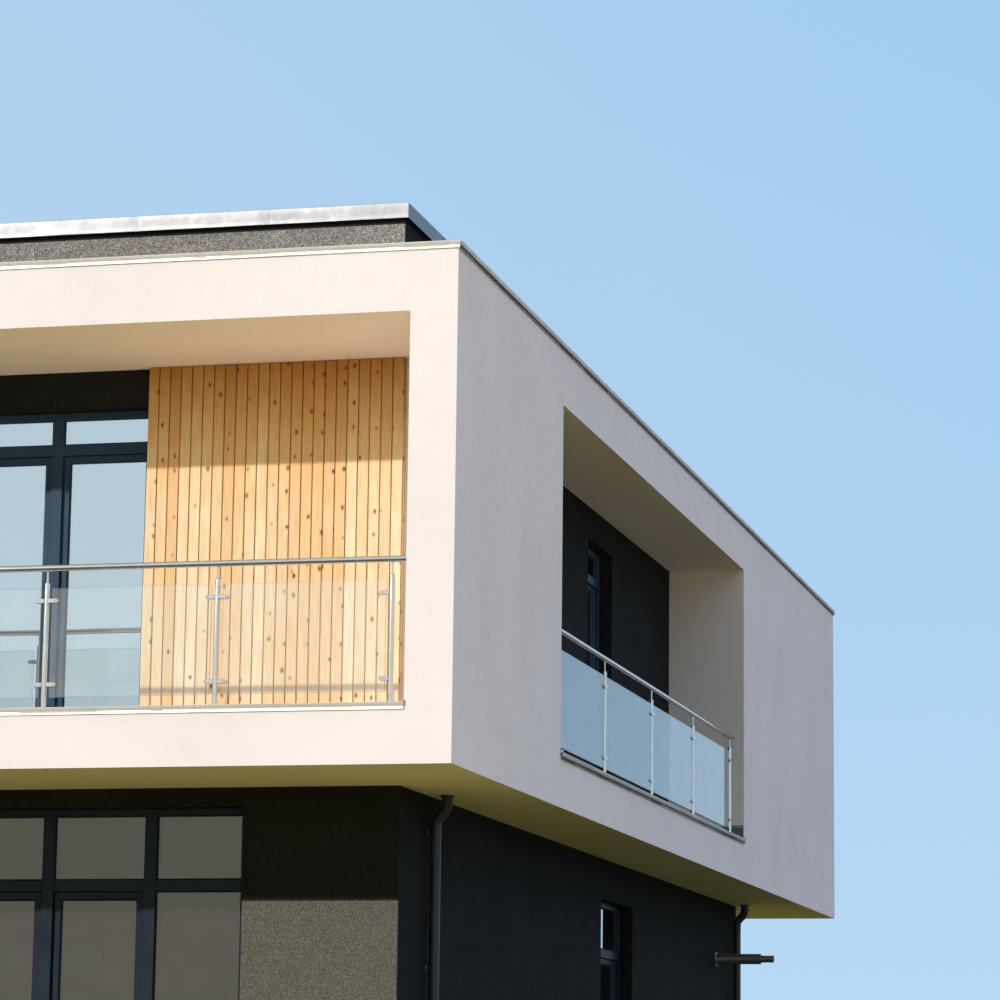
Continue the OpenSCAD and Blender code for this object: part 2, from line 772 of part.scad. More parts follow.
// A door leaf with its hinge halves, hung on the stile away from the middle mullion.
module door_leaf_frame(side) {
    color(frame_blue) {
        at_leaf(side) leaf(ground_leaf_w, ground_leaf_h);
        for (z = hinge_levels)
            translate([ground_unit_x + side * (mullion_pitch - mullion_w / 2 - leaf_gap), hinge_y,
                z + knuckle_h + knuckle_gap]) {
                cylinder(r = knuckle_r, h = knuckle_h, $fn = small_fn);
                translate([side > 0 ? -hinge_w : 0, -hinge_off, 0])
                    cube([hinge_w, hinge_off - knuckle_r / 2, knuckle_h]);
            }
    }
}

// Lever handle on the inner face of the stile next to the middle mullion.
module door_handle(side) {
    x = side > 0 ? stile_w / 2 : ground_leaf_w - stile_w / 2;
    z = handle_z - ground_leaf_z0 + ground_slab_t;
    color(steel) at_leaf(side) translate([x, leaf_t, z]) {
        translate([-plate_w / 2, 0, -plate_h / 2]) cube([plate_w, plate_t, plate_h]);
        rotate([-90, 0, 0]) cylinder(r = neck_r, h = neck_len, $fn = small_fn);
        translate([side > 0 ? 0 : -lever_len, neck_len - lever_t, -lever_h / 2])
            cube([lever_len, lever_t, lever_h]);
    }
}

module door_leaf_a_frame() {
    door_leaf_frame(-1);
}

module door_leaf_b_frame() {
    door_leaf_frame(1);
}

module door_leaf_a_glass() {
    color(glass_blue) at_leaf(-1) leaf_glass(ground_leaf_w, ground_leaf_h);
}

module door_leaf_b_glass() {
    color(glass_blue) at_leaf(1) leaf_glass(ground_leaf_w, ground_leaf_h);
}

module door_leaf_a_handle() {
    door_handle(-1);
}

module door_leaf_b_handle() {
    door_handle(1);
}

// Frame of an upper unit, centred on X, with a mullion if it has two lights.
module upper_frame(w, lights) {
    translate([-w / 2, 0, floor_z]) frame_ring(w, upper_unit_h, frame_w, frame_t, frame_w);
    translate([frame_w - w / 2, 0, floor_z + upper_transom_z])
        cube([w - 2 * frame_w, frame_t, transom_h]);
    if (lights > 1) translate([-mullion_w / 2, 0, floor_z + frame_w])
        cube([mullion_w, frame_t, upper_unit_h - 2 * frame_w]);
}

// Places its children at the two front units and at the side doors of the loggias.
module at_front_units() {
    both_sides() translate([upper_unit_x, core_y0 + frame_setback, 0]) children();
}

module at_side_doors() {
    both_sides() facing(core_w / 2 - frame_setback,
        -box_d / 2 + side_door_edge + side_door_w / 2, 90) children();
}

module upper_unit_frames() {
    color(frame_blue) {
        at_front_units() upper_frame(upper_unit_w, 2);
        at_side_doors() upper_frame(side_door_w, 1);
    }
}

module upper_unit_leaves() {
    color(frame_blue) {
        at_front_units() for (x = [-mullion_w / 2 - upper_leaf_w, mullion_w / 2])
            translate([x, leaf_setback, floor_z + frame_w]) leaf(upper_leaf_w, upper_leaf_h);
        at_side_doors() translate([-side_leaf_w / 2, leaf_setback, floor_z + frame_w])
            leaf(side_leaf_w, upper_leaf_h);
    }
}

module upper_unit_glass() {
    light_z = floor_z + upper_transom_z + transom_h;
    light_h = upper_unit_h - frame_w - upper_transom_z - transom_h;
    color(glass_blue) {
        at_front_units() for (x = [-mullion_w / 2 - upper_leaf_w, mullion_w / 2]) {
            fixed_pane(x, light_z, upper_leaf_w, light_h);
            translate([x, leaf_setback, floor_z + frame_w]) leaf_glass(upper_leaf_w, upper_leaf_h);
        }
        at_side_doors() {
            fixed_pane(-side_leaf_w / 2, light_z, side_leaf_w, light_h);
            translate([-side_leaf_w / 2, leaf_setback, floor_z + frame_w])
                leaf_glass(side_leaf_w, upper_leaf_h);
        }
    }
}

// Places its children in every casement window opening, centred on X.
module at_windows() {
    both_sides() facing(core_w / 2 - frame_setback, -box_d / 2 + window_edge + window_w / 2, 90)
        translate([0, 0, window_z]) children();
    for (x = back_window_x) {
        facing(x, core_y1 - frame_setback, 180) translate([0, 0, window_z]) children();
        facing(x, box_d / 2 - frame_setback, 180) translate([0, 0, upper_window_z]) children();
    }
}

module window_frames() {
    color(frame_blue) at_windows() {
        translate([-window_w / 2, 0, 0]) frame_ring(window_w, window_h, frame_w, frame_t, frame_w);
        translate([frame_w - window_w / 2, 0, window_transom_z])
            cube([window_w - 2 * frame_w, frame_t, transom_h]);
    }
}

module window_sashes() {
    color(frame_blue) at_windows() translate([frame_w - window_w / 2, leaf_setback, frame_w])
        frame_ring(window_w - 2 * frame_w, window_transom_z - frame_w, stile_w, leaf_t, stile_w);
}

module window_glass() {
    w = window_w - 2 * frame_w;
    color(glass_blue) at_windows() {
        fixed_pane(-w / 2, window_transom_z + transom_h, w, window_light_h);
        translate([stile_w - w / 2, leaf_setback + (leaf_t - glass_t) / 2, frame_w + stile_w])
            cube([w - 2 * stile_w, glass_t, window_transom_z - frame_w - 2 * stile_w]);
    }
}

// Folded metal sill in front of each window frame, with a drip lip.
module window_sills() {
    color(cream_metal) at_windows() {
        translate([-window_w / 2, -frame_setback - sill_reach, 0])
            cube([window_w, frame_setback + sill_reach, sill_t]);
        translate([-window_w / 2, -frame_setback - sill_reach, -lip_h])
            cube([window_w, lip_t, lip_h]);
    }
}

// Socket collar round a joint of the downpipe, centred on the joint.
module pipe_socket() {
    translate([0, 0, -socket_h / 2]) cylinder(r = pipe_r + socket_t, h = socket_h, $fn = round_fn);
}

// Quarter bend of the swan neck that starts at the origin and swings towards -X.
module pipe_bend() {
    translate([-bend_r, 0, 0]) rotate([90, 0, 0]) mirror([0, 1, 0])
        rotate_extrude(angle = bend_a, $fn = round_fn)
            translate([bend_r, 0]) circle(r = pipe_r, $fn = round_fn);
}

// Downpipe with a swan neck from the outlet in the soffit back to the wall at X = 0.
module downpipe() {
    swing = bend_r * (1 - cos(bend_a));
    slant = (outlet_off - pipe_off - 2 * swing) / sin(bend_a);
    bend_drop = bend_r * sin(bend_a);
    neck_z = soffit_z - neck_drop;
    low_z = neck_z - 2 * bend_drop - slant * cos(bend_a);
    translate([outlet_off, 0, neck_z]) {
        cylinder(r = pipe_r, h = neck_drop, $fn = round_fn);
        pipe_bend();
        pipe_socket();
    }
    translate([outlet_off, 0, soffit_z - rose_h])
        cylinder(r = pipe_r + rose_w, h = rose_h, $fn = round_fn);
    translate([outlet_off - swing, 0, neck_z - bend_drop]) rotate([0, 180 + bend_a, 0]) {
        cylinder(r = pipe_r, h = slant, $fn = round_fn);
        pipe_socket();
        translate([0, 0, slant]) pipe_socket();
    }
    translate([pipe_off, 0, low_z]) {
        mirror([0, 0, 1]) mirror([1, 0, 0]) pipe_bend();
        pipe_socket();
    }
    translate([pipe_off, 0, pipe_foot])
        cylinder(r = pipe_r, h = low_z - pipe_foot, $fn = round_fn);
}

// Places its children against the core's side walls at every downpipe.
module at_pipes() {
    both_sides() for (y = [front_pipe_y - box_d / 2, core_y1 - back_pipe_end])
        translate([core_w / 2, y, 0]) children();
}

module downpipes() {
    color(frame_blue) at_pipes() downpipe();
}

module pipe_brackets() {
    color(steel) at_pipes()
        for (z = [soffit_z - bracket_top : -bracket_pitch : bracket_foot]) translate([0, 0, z])
            difference() {
                union() {
                    translate([pipe_off, 0, 0])
                        cylinder(r = pipe_r + bracket_t, h = bracket_h, $fn = round_fn);
                    translate([0, -bracket_h / 4, bracket_h / 4])
                        cube([pipe_off, bracket_h / 2, bracket_h / 2]);
                }
                translate([pipe_off, 0, -eps])
                    cylinder(r = pipe_r, h = bracket_h + 2 * eps, $fn = round_fn);
            }
}

module boiler_flue() {
    color(zinc) translate([core_w / 2, core_y1 - flue_end, soffit_z - flue_drop])
        rotate([0, 90, 0]) {
            cylinder(r = flue_r, h = flue_len, $fn = round_fn);
            cylinder(r = flue_r + flue_plate_w, h = flue_plate_t, $fn = round_fn);
            cylinder(r = flue_tip_r, h = flue_len + flue_tip, $fn = round_fn);
        }
}

ground_floor_slab();
ground_front_wall_right();
ground_front_wall_middle();
ground_front_wall_left();
ground_unit_surrounds();
ground_right_wall();
ground_left_wall();
ground_back_wall();
upper_floor_slab();
box_right_walls();
box_left_walls();
box_back_wall();
loggia_corner_walls();
loggia_end_walls();
front_loggia_wall();
right_loggia_wall();
left_loggia_wall();
loggia_kerbs();
loggia_upstrips();
timber_cladding();
roof_slab();
roof_upstands_front_back();
roof_upstands_sides();
roof_edge_coping();
parapet_front_back();
parapet_sides();
parapet_coping();
roof_covering();
sill_copings();
front_posts();
front_handrail();
front_glass_panels();
side_posts();
side_handrails();
side_glass_panels();
ground_unit_uprights();
ground_unit_rails();
door_hinges();
ground_fixed_leaves();
ground_unit_glass();
door_leaf_a_frame();
door_leaf_a_glass();
door_leaf_a_handle();
door_leaf_b_frame();
door_leaf_b_glass();
door_leaf_b_handle();
upper_unit_frames();
upper_unit_leaves();
upper_unit_glass();
window_frames();
window_sashes();
window_glass();
window_sills();
downpipes();
pipe_brackets();
boiler_flue();
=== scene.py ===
"""Detached house: a dark rendered core with a white box round its upper storey.

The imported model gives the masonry. This script finishes every surface and adds the joinery,
timber boards, balustrades, folded copings, sills, upstands and pipes at true size, and then
a pale floor, the sun and the sky. Metres, Z up.
"""

import json
import math
from functools import partial

import bmesh
import bpy
import numpy as np
from mathutils import Matrix, Vector


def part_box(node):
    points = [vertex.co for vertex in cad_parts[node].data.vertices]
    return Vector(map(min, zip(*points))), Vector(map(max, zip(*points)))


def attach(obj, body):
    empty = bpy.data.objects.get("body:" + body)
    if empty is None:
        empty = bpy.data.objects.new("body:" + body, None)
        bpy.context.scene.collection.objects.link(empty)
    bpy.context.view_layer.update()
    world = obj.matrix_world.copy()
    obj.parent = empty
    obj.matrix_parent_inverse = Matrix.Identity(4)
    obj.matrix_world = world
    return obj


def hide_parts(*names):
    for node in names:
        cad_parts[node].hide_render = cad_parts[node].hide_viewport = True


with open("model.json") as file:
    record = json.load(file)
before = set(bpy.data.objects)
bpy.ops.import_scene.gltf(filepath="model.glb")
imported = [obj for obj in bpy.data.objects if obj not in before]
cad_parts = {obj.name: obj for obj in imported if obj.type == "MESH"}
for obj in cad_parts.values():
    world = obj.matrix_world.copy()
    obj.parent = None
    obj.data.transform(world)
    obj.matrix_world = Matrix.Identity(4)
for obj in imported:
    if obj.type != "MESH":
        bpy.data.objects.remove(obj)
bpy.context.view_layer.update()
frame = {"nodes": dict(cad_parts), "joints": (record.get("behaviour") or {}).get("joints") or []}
NODES = frame["nodes"]


def corners(node):
    """Lowest and highest corner of a node as arrays."""
    low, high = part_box(node)
    return np.array(low), np.array(high)


def solids_of(node):
    """Boxes (low, high) of a node's separate solids: each corner takes the least label
    found on its triangles, again and again, until no label changes."""
    mesh = NODES[node].data
    mesh.calc_loop_triangles()
    places = np.empty(len(mesh.vertices) * 3)
    mesh.vertices.foreach_get("co", places)
    keys, where = np.unique(places.reshape(-1, 3).round(5), axis=0, return_inverse=True)
    corner = np.empty(len(mesh.loop_triangles) * 3, int)
    mesh.loop_triangles.foreach_get("vertices", corner)
    corner = where.reshape(-1)[corner]
    label = np.arange(len(keys))
    settled = False
    while not settled:
        least = label.copy()
        np.minimum.at(least, corner, np.repeat(label[corner].reshape(-1, 3).min(1), 3))
        settled = bool((least == label).all())
        label = least
    return [(keys[label == k].min(0), keys[label == k].max(0)) for k in np.unique(label)]


def inside(boxes, low, high):
    """Those boxes whose middle lies in low..high."""
    return [b for b in boxes if ((b[0] + b[1]) / 2 > low).all()
        and ((b[0] + b[1]) / 2 < high).all()]


# What the frame gives
BOX_LOW, BOX_HIGH = corners("roof_slab")
CORE_X, CORE_BACK = corners("ground_back_wall")[1][:2]
CORE_FRONT = corners("ground_front_wall_middle")[0][1]
SOFFIT_Z = corners("upper_floor_slab")[0][2]
FLOOR_Z = corners("upper_floor_slab")[1][2]
HEAD_Z = BOX_LOW[2]
EDGE_Z = corners("roof_upstands_sides")[1][2]
PARAPET_LOW, PARAPET_HIGH = corners("parapet_front_back")

# The photograph's camera, fitted to the house's own edges
CAMERA_PLACE = (11.410, -31.565, 1.025)
CAMERA_YAW = math.radians(-13.844)
CAMERA_PITCH = math.radians(10.174)
CAMERA_ROLL = math.radians(0.704)
FOCAL_PIXELS = 3455.3
IMAGE_PIXELS = 1000
SENSOR_MM = 36

# Light: a low soft sun from the front left and a pale sky
TO_SUN = (-0.70, -1.0, 0.545)
SUN_STRENGTH = 2.75
SUN_SPREAD = math.radians(0.9)
FLOOR_HALF = 420.0


def linear(code):
    """An sRGB hex code as linear RGBA: value / 12.92 up to 0.04045, and above that
    ((value + 0.055) / 1.055) to the power of 2.4."""
    srgb = [int(code[i:i + 2], 16) / 255 for i in (0, 2, 4)]
    return [c / 12.92 if c <= 0.04045 else ((c + 0.055) / 1.055) ** 2.4 for c in srgb] + [1.0]


def add_node(tree, kind, inputs=(), **settings):
    """Adds a shader node with its settings, fills its inputs with numbers or links, and
    returns its outputs."""
    made = tree.nodes.new("ShaderNode" + kind)
    for name, value in settings.items():
        setattr(made, name, value)
    for key, value in dict(inputs).items():
        if isinstance(value, bpy.types.NodeSocket):
            tree.links.new(value, made.inputs[key])
        else:
            made.inputs[key].default_value = value
    return made.outputs


def start_material(name):
    """An empty material, its own node adder and its Object coordinates in metres."""
    made = bpy.data.materials.new(name)
    made.use_nodes = True
    made.node_tree.nodes.clear()
    add = partial(add_node, made.node_tree)
    return made, add, add("TexCoord")["Object"]


def layered(add, colour, *layers):
    """A colour with others laid over it in turn. Each layer is (pattern, low, high, share,
    code): it covers nothing where the pattern is at low, and its share of the colour below
    where the pattern is at high."""
    for pattern, low, high, share, code in layers:
        part = add("MapRange", {0: pattern, 1: low, 2: high, 4: share})[0]
        colour = add("Mix", {0: part, 6: colour, 7: linear(code)}, data_type="RGBA")[2]
    return colour


# The white float render's paint, its clouds and its pores, on the box and on its slab
FLOAT_PALE, FLOAT_CLOUD, FLOAT_PORE = "F2EBE5", "EDE6DF", "D6CFC6"

# A noise or Voronoi scale is one over the real size of what it draws, in metres. A bump
# distance is the real height of the relief.
FLOAT_GRAIN = 0.016      # render grain is 2 mm, drawn coarser so that it shows
BARK_GRAIN = 0.014       # bark texture, grooves about 15 mm apart
QUARTZ_GRAIN = 0.012     # quartz grains are 3 mm, drawn coarser so that they show
BLOTCH = 0.030           # bleached blotches and chipped grains on the parapet
PLASTER_SKIN = 0.16      # the outer half of a wall shows its render, the rest its plaster
SUNLIT_TOP_Z = 2.565        # painted sunlight: below this height the front wall is lighter, up to where the upper storey's shadow ends
COPING_SHADOW_Z = PARAPET_HIGH[2] - 0.128    # painted shadow: above this height the parapet's front stays dark, standing in for the shadow under its coping


def white_render():
    """Sponge-floated mineral render, painted white: matt, faintly clouded, fine grained,
    with weak rain streaks under the metal edge. Faces that look down are lighter and pinker:
    painted light on the soffits, standing in for the warm light thrown up from below."""
    made, add, place = start_material("white_sponge_floated_render")
    cloud = add("TexNoise", {"Vector": place, "Scale": 1 / 1.1, "Detail": 5.0})[0]
    sponge = add("TexNoise", {"Vector": place, "Scale": 1 / 0.16, "Detail": 3.0})[0]
    grain = add("TexNoise", {"Vector": place, "Scale": 1 / FLOAT_GRAIN, "Roughness": 0.7})[0]
    drawn = add("VectorMath", {0: place, 1: (9.0, 9.0, 0.35)}, operation="MULTIPLY")[0]
    streak = add("MapRange", {0: add("TexNoise", {"Vector": drawn, "Scale": 1.0})[0], 1: 0.52,
        2: 0.75})[0]
    height = add("SeparateXYZ", {0: place})[2]
    wet = add("MapRange", {0: height, 1: EDGE_Z - 0.5, 2: EDGE_Z, 4: 0.14})[0]
    streak = add("Math", {0: streak, 1: wet}, operation="MULTIPLY")[0]
    colour = layered(add, linear(FLOAT_PALE), (cloud, 0.35, 0.65, 1.0, FLOAT_CLOUD),
        (sponge, 0.5, 0.8, 0.3, "E5DDD5"), (grain, 0.55, 0.8, 0.3, FLOAT_PORE))
    colour = add("Mix", {0: streak, 6: colour, 7: linear("CDC7BD")}, data_type="RGBA")[2]
    # Painted light: faces that look down get a lighter, pinker white, standing in for warm light
    # thrown up onto the soffits
    facing = add("SeparateXYZ", {0: add("NewGeometry")["True Normal"]})[2]
    painted_soffit_light = add("Math", {0: facing, 1: -0.5}, operation="LESS_THAN")[0]
    colour = add("Mix", {0: painted_soffit_light, 6: colour, 7: linear("FFF3EC")}, data_type="RGBA")[2]
    relief = add("Bump", {"Distance": 0.003, "Height": sponge})[0]
    relief = add("Bump", {"Distance": 0.004, "Height": grain, "Normal": relief})[0]
    add("OutputMaterial", {0: add("BsdfPrincipled", {"Base Color": colour, "Roughness": 0.92,
        "Specular IOR Level": 0.25, "Normal": relief})[0]})
    return made


def charcoal_render():
    """Bark-textured render, charcoal: matt and very dark, with worm-like grooves that are darker
    as painted shade. The parapet's front is weathered to a lighter blotched grey, kept to its
    sunlit face and stopped under the coping by a band of painted shadow, so it is partly painted
    sunlight.
    The front wall is lighter below the edge of the upper storey's shadow: painted sunlight. The
    rooms' side of a wall is plastered a pale grey."""
    made, add, place = start_material("charcoal_bark_texture_render")
    cloud = add("TexNoise", {"Vector": place, "Scale": 1 / 0.7, "Detail": 4.0})[0]
    bark = add("TexNoise", {"Vector": place, "Scale": 1 / BARK_GRAIN, "Detail": 1.0})[0]
    bark = add("Math", {0: bark, 1: 0.5}, operation="SUBTRACT")[0]
    bark = add("Math", {0: bark}, operation="ABSOLUTE")[0]
    quartz = add("TexNoise", {"Vector": place, "Scale": 1 / QUARTZ_GRAIN, "Detail": 3.0,
        "Roughness": 0.7})[0]
    axes = add("SeparateXYZ", {0: place})
    colour = layered(add, linear("222421"), (cloud, 0.35, 0.7, 1.0, "2A2B29"))
    # Painted shade: the bark's grooves are darker, as if shaded
    painted_groove_shade = add("MapRange", {0: bark, 1: 0.01, 2: 0.12, 3: 0.85, 4: 0.0})[0]
    colour = add("Mix", {0: painted_groove_shade, 6: colour, 7: linear("15181C")}, data_type="RGBA")[2]
    # Painted sunlight: the front wall is lighter below the edge of the upper storey's shadow
    painted_sunlight = add("MapRange", {0: axes[2], 1: SUNLIT_TOP_Z, 2: SUNLIT_TOP_Z + 0.012, 3: 1.0,
        4: 0.0})[0]
    front = add("Math", {0: axes[1], 1: CORE_FRONT + 0.02}, operation="LESS_THAN")[0]
    painted_sunlight = add("Math", {0: painted_sunlight, 1: front}, operation="MULTIPLY")[0]
    dust_and_sunlight = add("Mix", {0: quartz, 6: linear("615F57"), 7: linear("807E74")},
        data_type="RGBA")[2]
    dust_and_sunlight = add("Mix", {0: painted_groove_shade, 6: dust_and_sunlight, 7: linear("48453F")}, data_type="RGBA")[2]
    colour = add("Mix", {0: painted_sunlight, 6: colour, 7: dust_and_sunlight}, data_type="RGBA")[2]
    colour = layered(add, colour, (quartz, 0.62, 0.74, 0.35, "5F5D58"))
    # Partly weathering, partly painted light: the parapet is bleached only on its sunlit front
    # and not in the painted shadow under the coping
    bleach_and_sunlight = add("MapRange", {0: axes[2], 1: EDGE_Z - 0.02, 2: EDGE_Z, 4: 0.85})[0]
    painted_shade_mask = add("MapRange", {0: axes[2], 1: COPING_SHADOW_Z, 2: COPING_SHADOW_Z + 0.006, 3: 1.0,
        4: 0.0})[0]
    bleach_and_sunlight = add("Math", {0: bleach_and_sunlight, 1: painted_shade_mask}, operation="MULTIPLY")[0]
    sunny = add("Math", {0: axes[1], 1: PARAPET_LOW[1] + 0.02}, operation="LESS_THAN")[0]
    bleach_and_sunlight = add("Math", {0: bleach_and_sunlight, 1: sunny}, operation="MULTIPLY")[0]
    blotch = add("TexNoise", {"Vector": place, "Scale": 1 / BLOTCH, "Detail": 4.0,
        "Roughness": 0.8})[0]
    blotch = add("Math", {0: cloud, 1: 0.35, 2: blotch}, operation="MULTIPLY_ADD")[0]
    blotch = add("MapRange", {0: blotch, 1: 0.52, 2: 0.84})[0]
    worn = add("Mix", {0: blotch, 6: linear("968F83"), 7: linear("DBD6CA")},
        data_type="RGBA")[2]
    worn = add("Mix", {0: painted_groove_shade, 6: worn, 7: linear("5A554A")}, data_type="RGBA")[2]
    chips = add("TexVoronoi", {"Vector": place, "Scale": 1 / BLOTCH})["Distance"]
    chips = add("Math", {0: chips, 1: 0.16}, operation="LESS_THAN")[0]
    part = add("MapRange", {0: cloud, 1: 0.54, 2: 0.60, 4: 0.9})[0]
    chips = add("Math", {0: chips, 1: part}, operation="MULTIPLY")[0]
    worn = add("Mix", {0: chips, 6: worn, 7: linear("F4F1EA")}, data_type="RGBA")[2]
    colour = add("Mix", {0: bleach_and_sunlight, 6: colour, 7: worn}, data_type="RGBA")[2]
    room = 1.0
    for axis, operation, limit in ((add("Math", {0: axes[0]}, operation="ABSOLUTE")[0],
            "LESS_THAN", CORE_X - PLASTER_SKIN), (axes[1], "GREATER_THAN",
            CORE_FRONT + PLASTER_SKIN), (axes[1], "LESS_THAN", CORE_BACK - PLASTER_SKIN),
            (axes[2], "LESS_THAN", HEAD_Z + 0.02)):
        past = add("Math", {0: axis, 1: limit}, operation=operation)[0]
        room = add("Math", {0: room, 1: past}, operation="MULTIPLY")[0]
    plaster = add("Mix", {0: cloud, 6: linear("A9A59D"), 7: linear("B8B4AB")},
        data_type="RGBA")[2]
    colour = add("Mix", {0: room, 6: colour, 7: plaster}, data_type="RGBA")[2]
    groove = add("MapRange", {0: bark, 1: 0.0, 2: 0.12})[0]
    relief = add("Bump", {"Distance": 0.002, "Height": groove})[0]
    relief = add("Bump", {"Distance": 0.0022, "Height": quartz, "Normal": relief})[0]
    add("OutputMaterial", {0: add("BsdfPrincipled", {"Base Color": colour, "Roughness": 0.85,
        "Specular IOR Level": 0.1, "Normal": relief})[0]})
    return made


def cement_screed():
    """Trowelled cement screed: mid grey, smooth, with soft clouds from the trowel."""
    made, add, place = start_material("trowelled_cement_screed")
    cloud = add("TexNoise", {"Vector": place, "Scale": 1 / 0.5, "Detail": 5.0})[0]
    pores = add("TexNoise", {"Vector": place, "Scale": 1 / 0.012})[0]
    colour = layered(add, linear("A59E92"), (cloud, 0.3, 0.7, 1.0, "8F897F"),
        (pores, 0.6, 0.75, 0.5, "6E6961"))
    relief = add("Bump", {"Distance": 0.001, "Height": pores})[0]
    add("OutputMaterial", {0: add("BsdfPrincipled", {"Base Color": colour, "Roughness": 0.8,
        "Normal": relief})[0]})
    return made


def loggia_slab():
    """The slab of the white box: sponge-floated white render on its edge and soffit, and
    sand-coloured porcelain paving, 600 mm square with 4 mm joints, on what faces up."""
    made, add, place = start_material("white_render_and_porcelain_paving")
    cloud = add("TexNoise", {"Vector": place, "Scale": 1 / 1.1, "Detail": 5.0})[0]
    grain = add("TexNoise", {"Vector": place, "Scale": 1 / FLOAT_GRAIN, "Roughness": 0.7})[0]
    render = layered(add, linear(FLOAT_PALE), (cloud, 0.35, 0.65, 1.0, FLOAT_CLOUD),
        (grain, 0.55, 0.8, 0.3, FLOAT_PORE))
    paving = add("TexBrick", {"Vector": place, "Color1": linear("FFE6CE"),
        "Color2": linear("FADCC0"), "Mortar": linear("9A8F7C"), "Scale": 1.0,
        "Mortar Size": 0.004, "Brick Width": 0.6, "Row Height": 0.6}, offset=0.0)[0]
    facing = add("SeparateXYZ", {0: add("NewGeometry")["True Normal"]})[2]
    up = add("Math", {0: facing, 1: 0.5}, operation="GREATER_THAN")[0]
    colour = add("Mix", {0: up, 6: render, 7: paving}, data_type="RGBA")[2]
    rough = add("MapRange", {0: up, 3: 0.92, 4: 0.6})[0]
    relief = add("Bump", {"Distance": 0.002, "Height": grain})[0]
    add("OutputMaterial", {0: add("BsdfPrincipled", {"Base Color": colour,
        "Roughness": rough, "Specular IOR Level": 0.25, "Normal": relief})[0]})
    return made


def bitumen_sheet():
    """Torched bitumen sheet with slate granules: dark, gritty, with laps every metre."""
    made, add, place = start_material("slate_faced_bitumen_sheet")
    slate = add("TexNoise", {"Vector": place, "Scale": 1 / 0.006, "Roughness": 0.8})[0]
    cloud = add("TexNoise", {"Vector": place, "Scale": 1 / 1.6, "Detail": 4.0})[0]
    lap = add("Math", {0: add("SeparateXYZ", {0: place})[0]}, operation="FRACT")[0]
    colour = layered(add, linear("3F4144"), (slate, 0.3, 0.7, 1.0, "6A6C6E"),
        (cloud, 0.4, 0.7, 0.4, "7D7C78"), (lap, 0.02, 0.0, 1.0, "26272A"))
    relief = add("Bump", {"Distance": 0.004, "Height": lap})[0]
    relief = add("Bump", {"Distance": 0.0015, "Height": slate, "Normal": relief})[0]
    add("OutputMaterial", {0: add("BsdfPrincipled", {"Base Color": colour, "Roughness": 0.88,
        "Normal": relief})[0]})
    return made


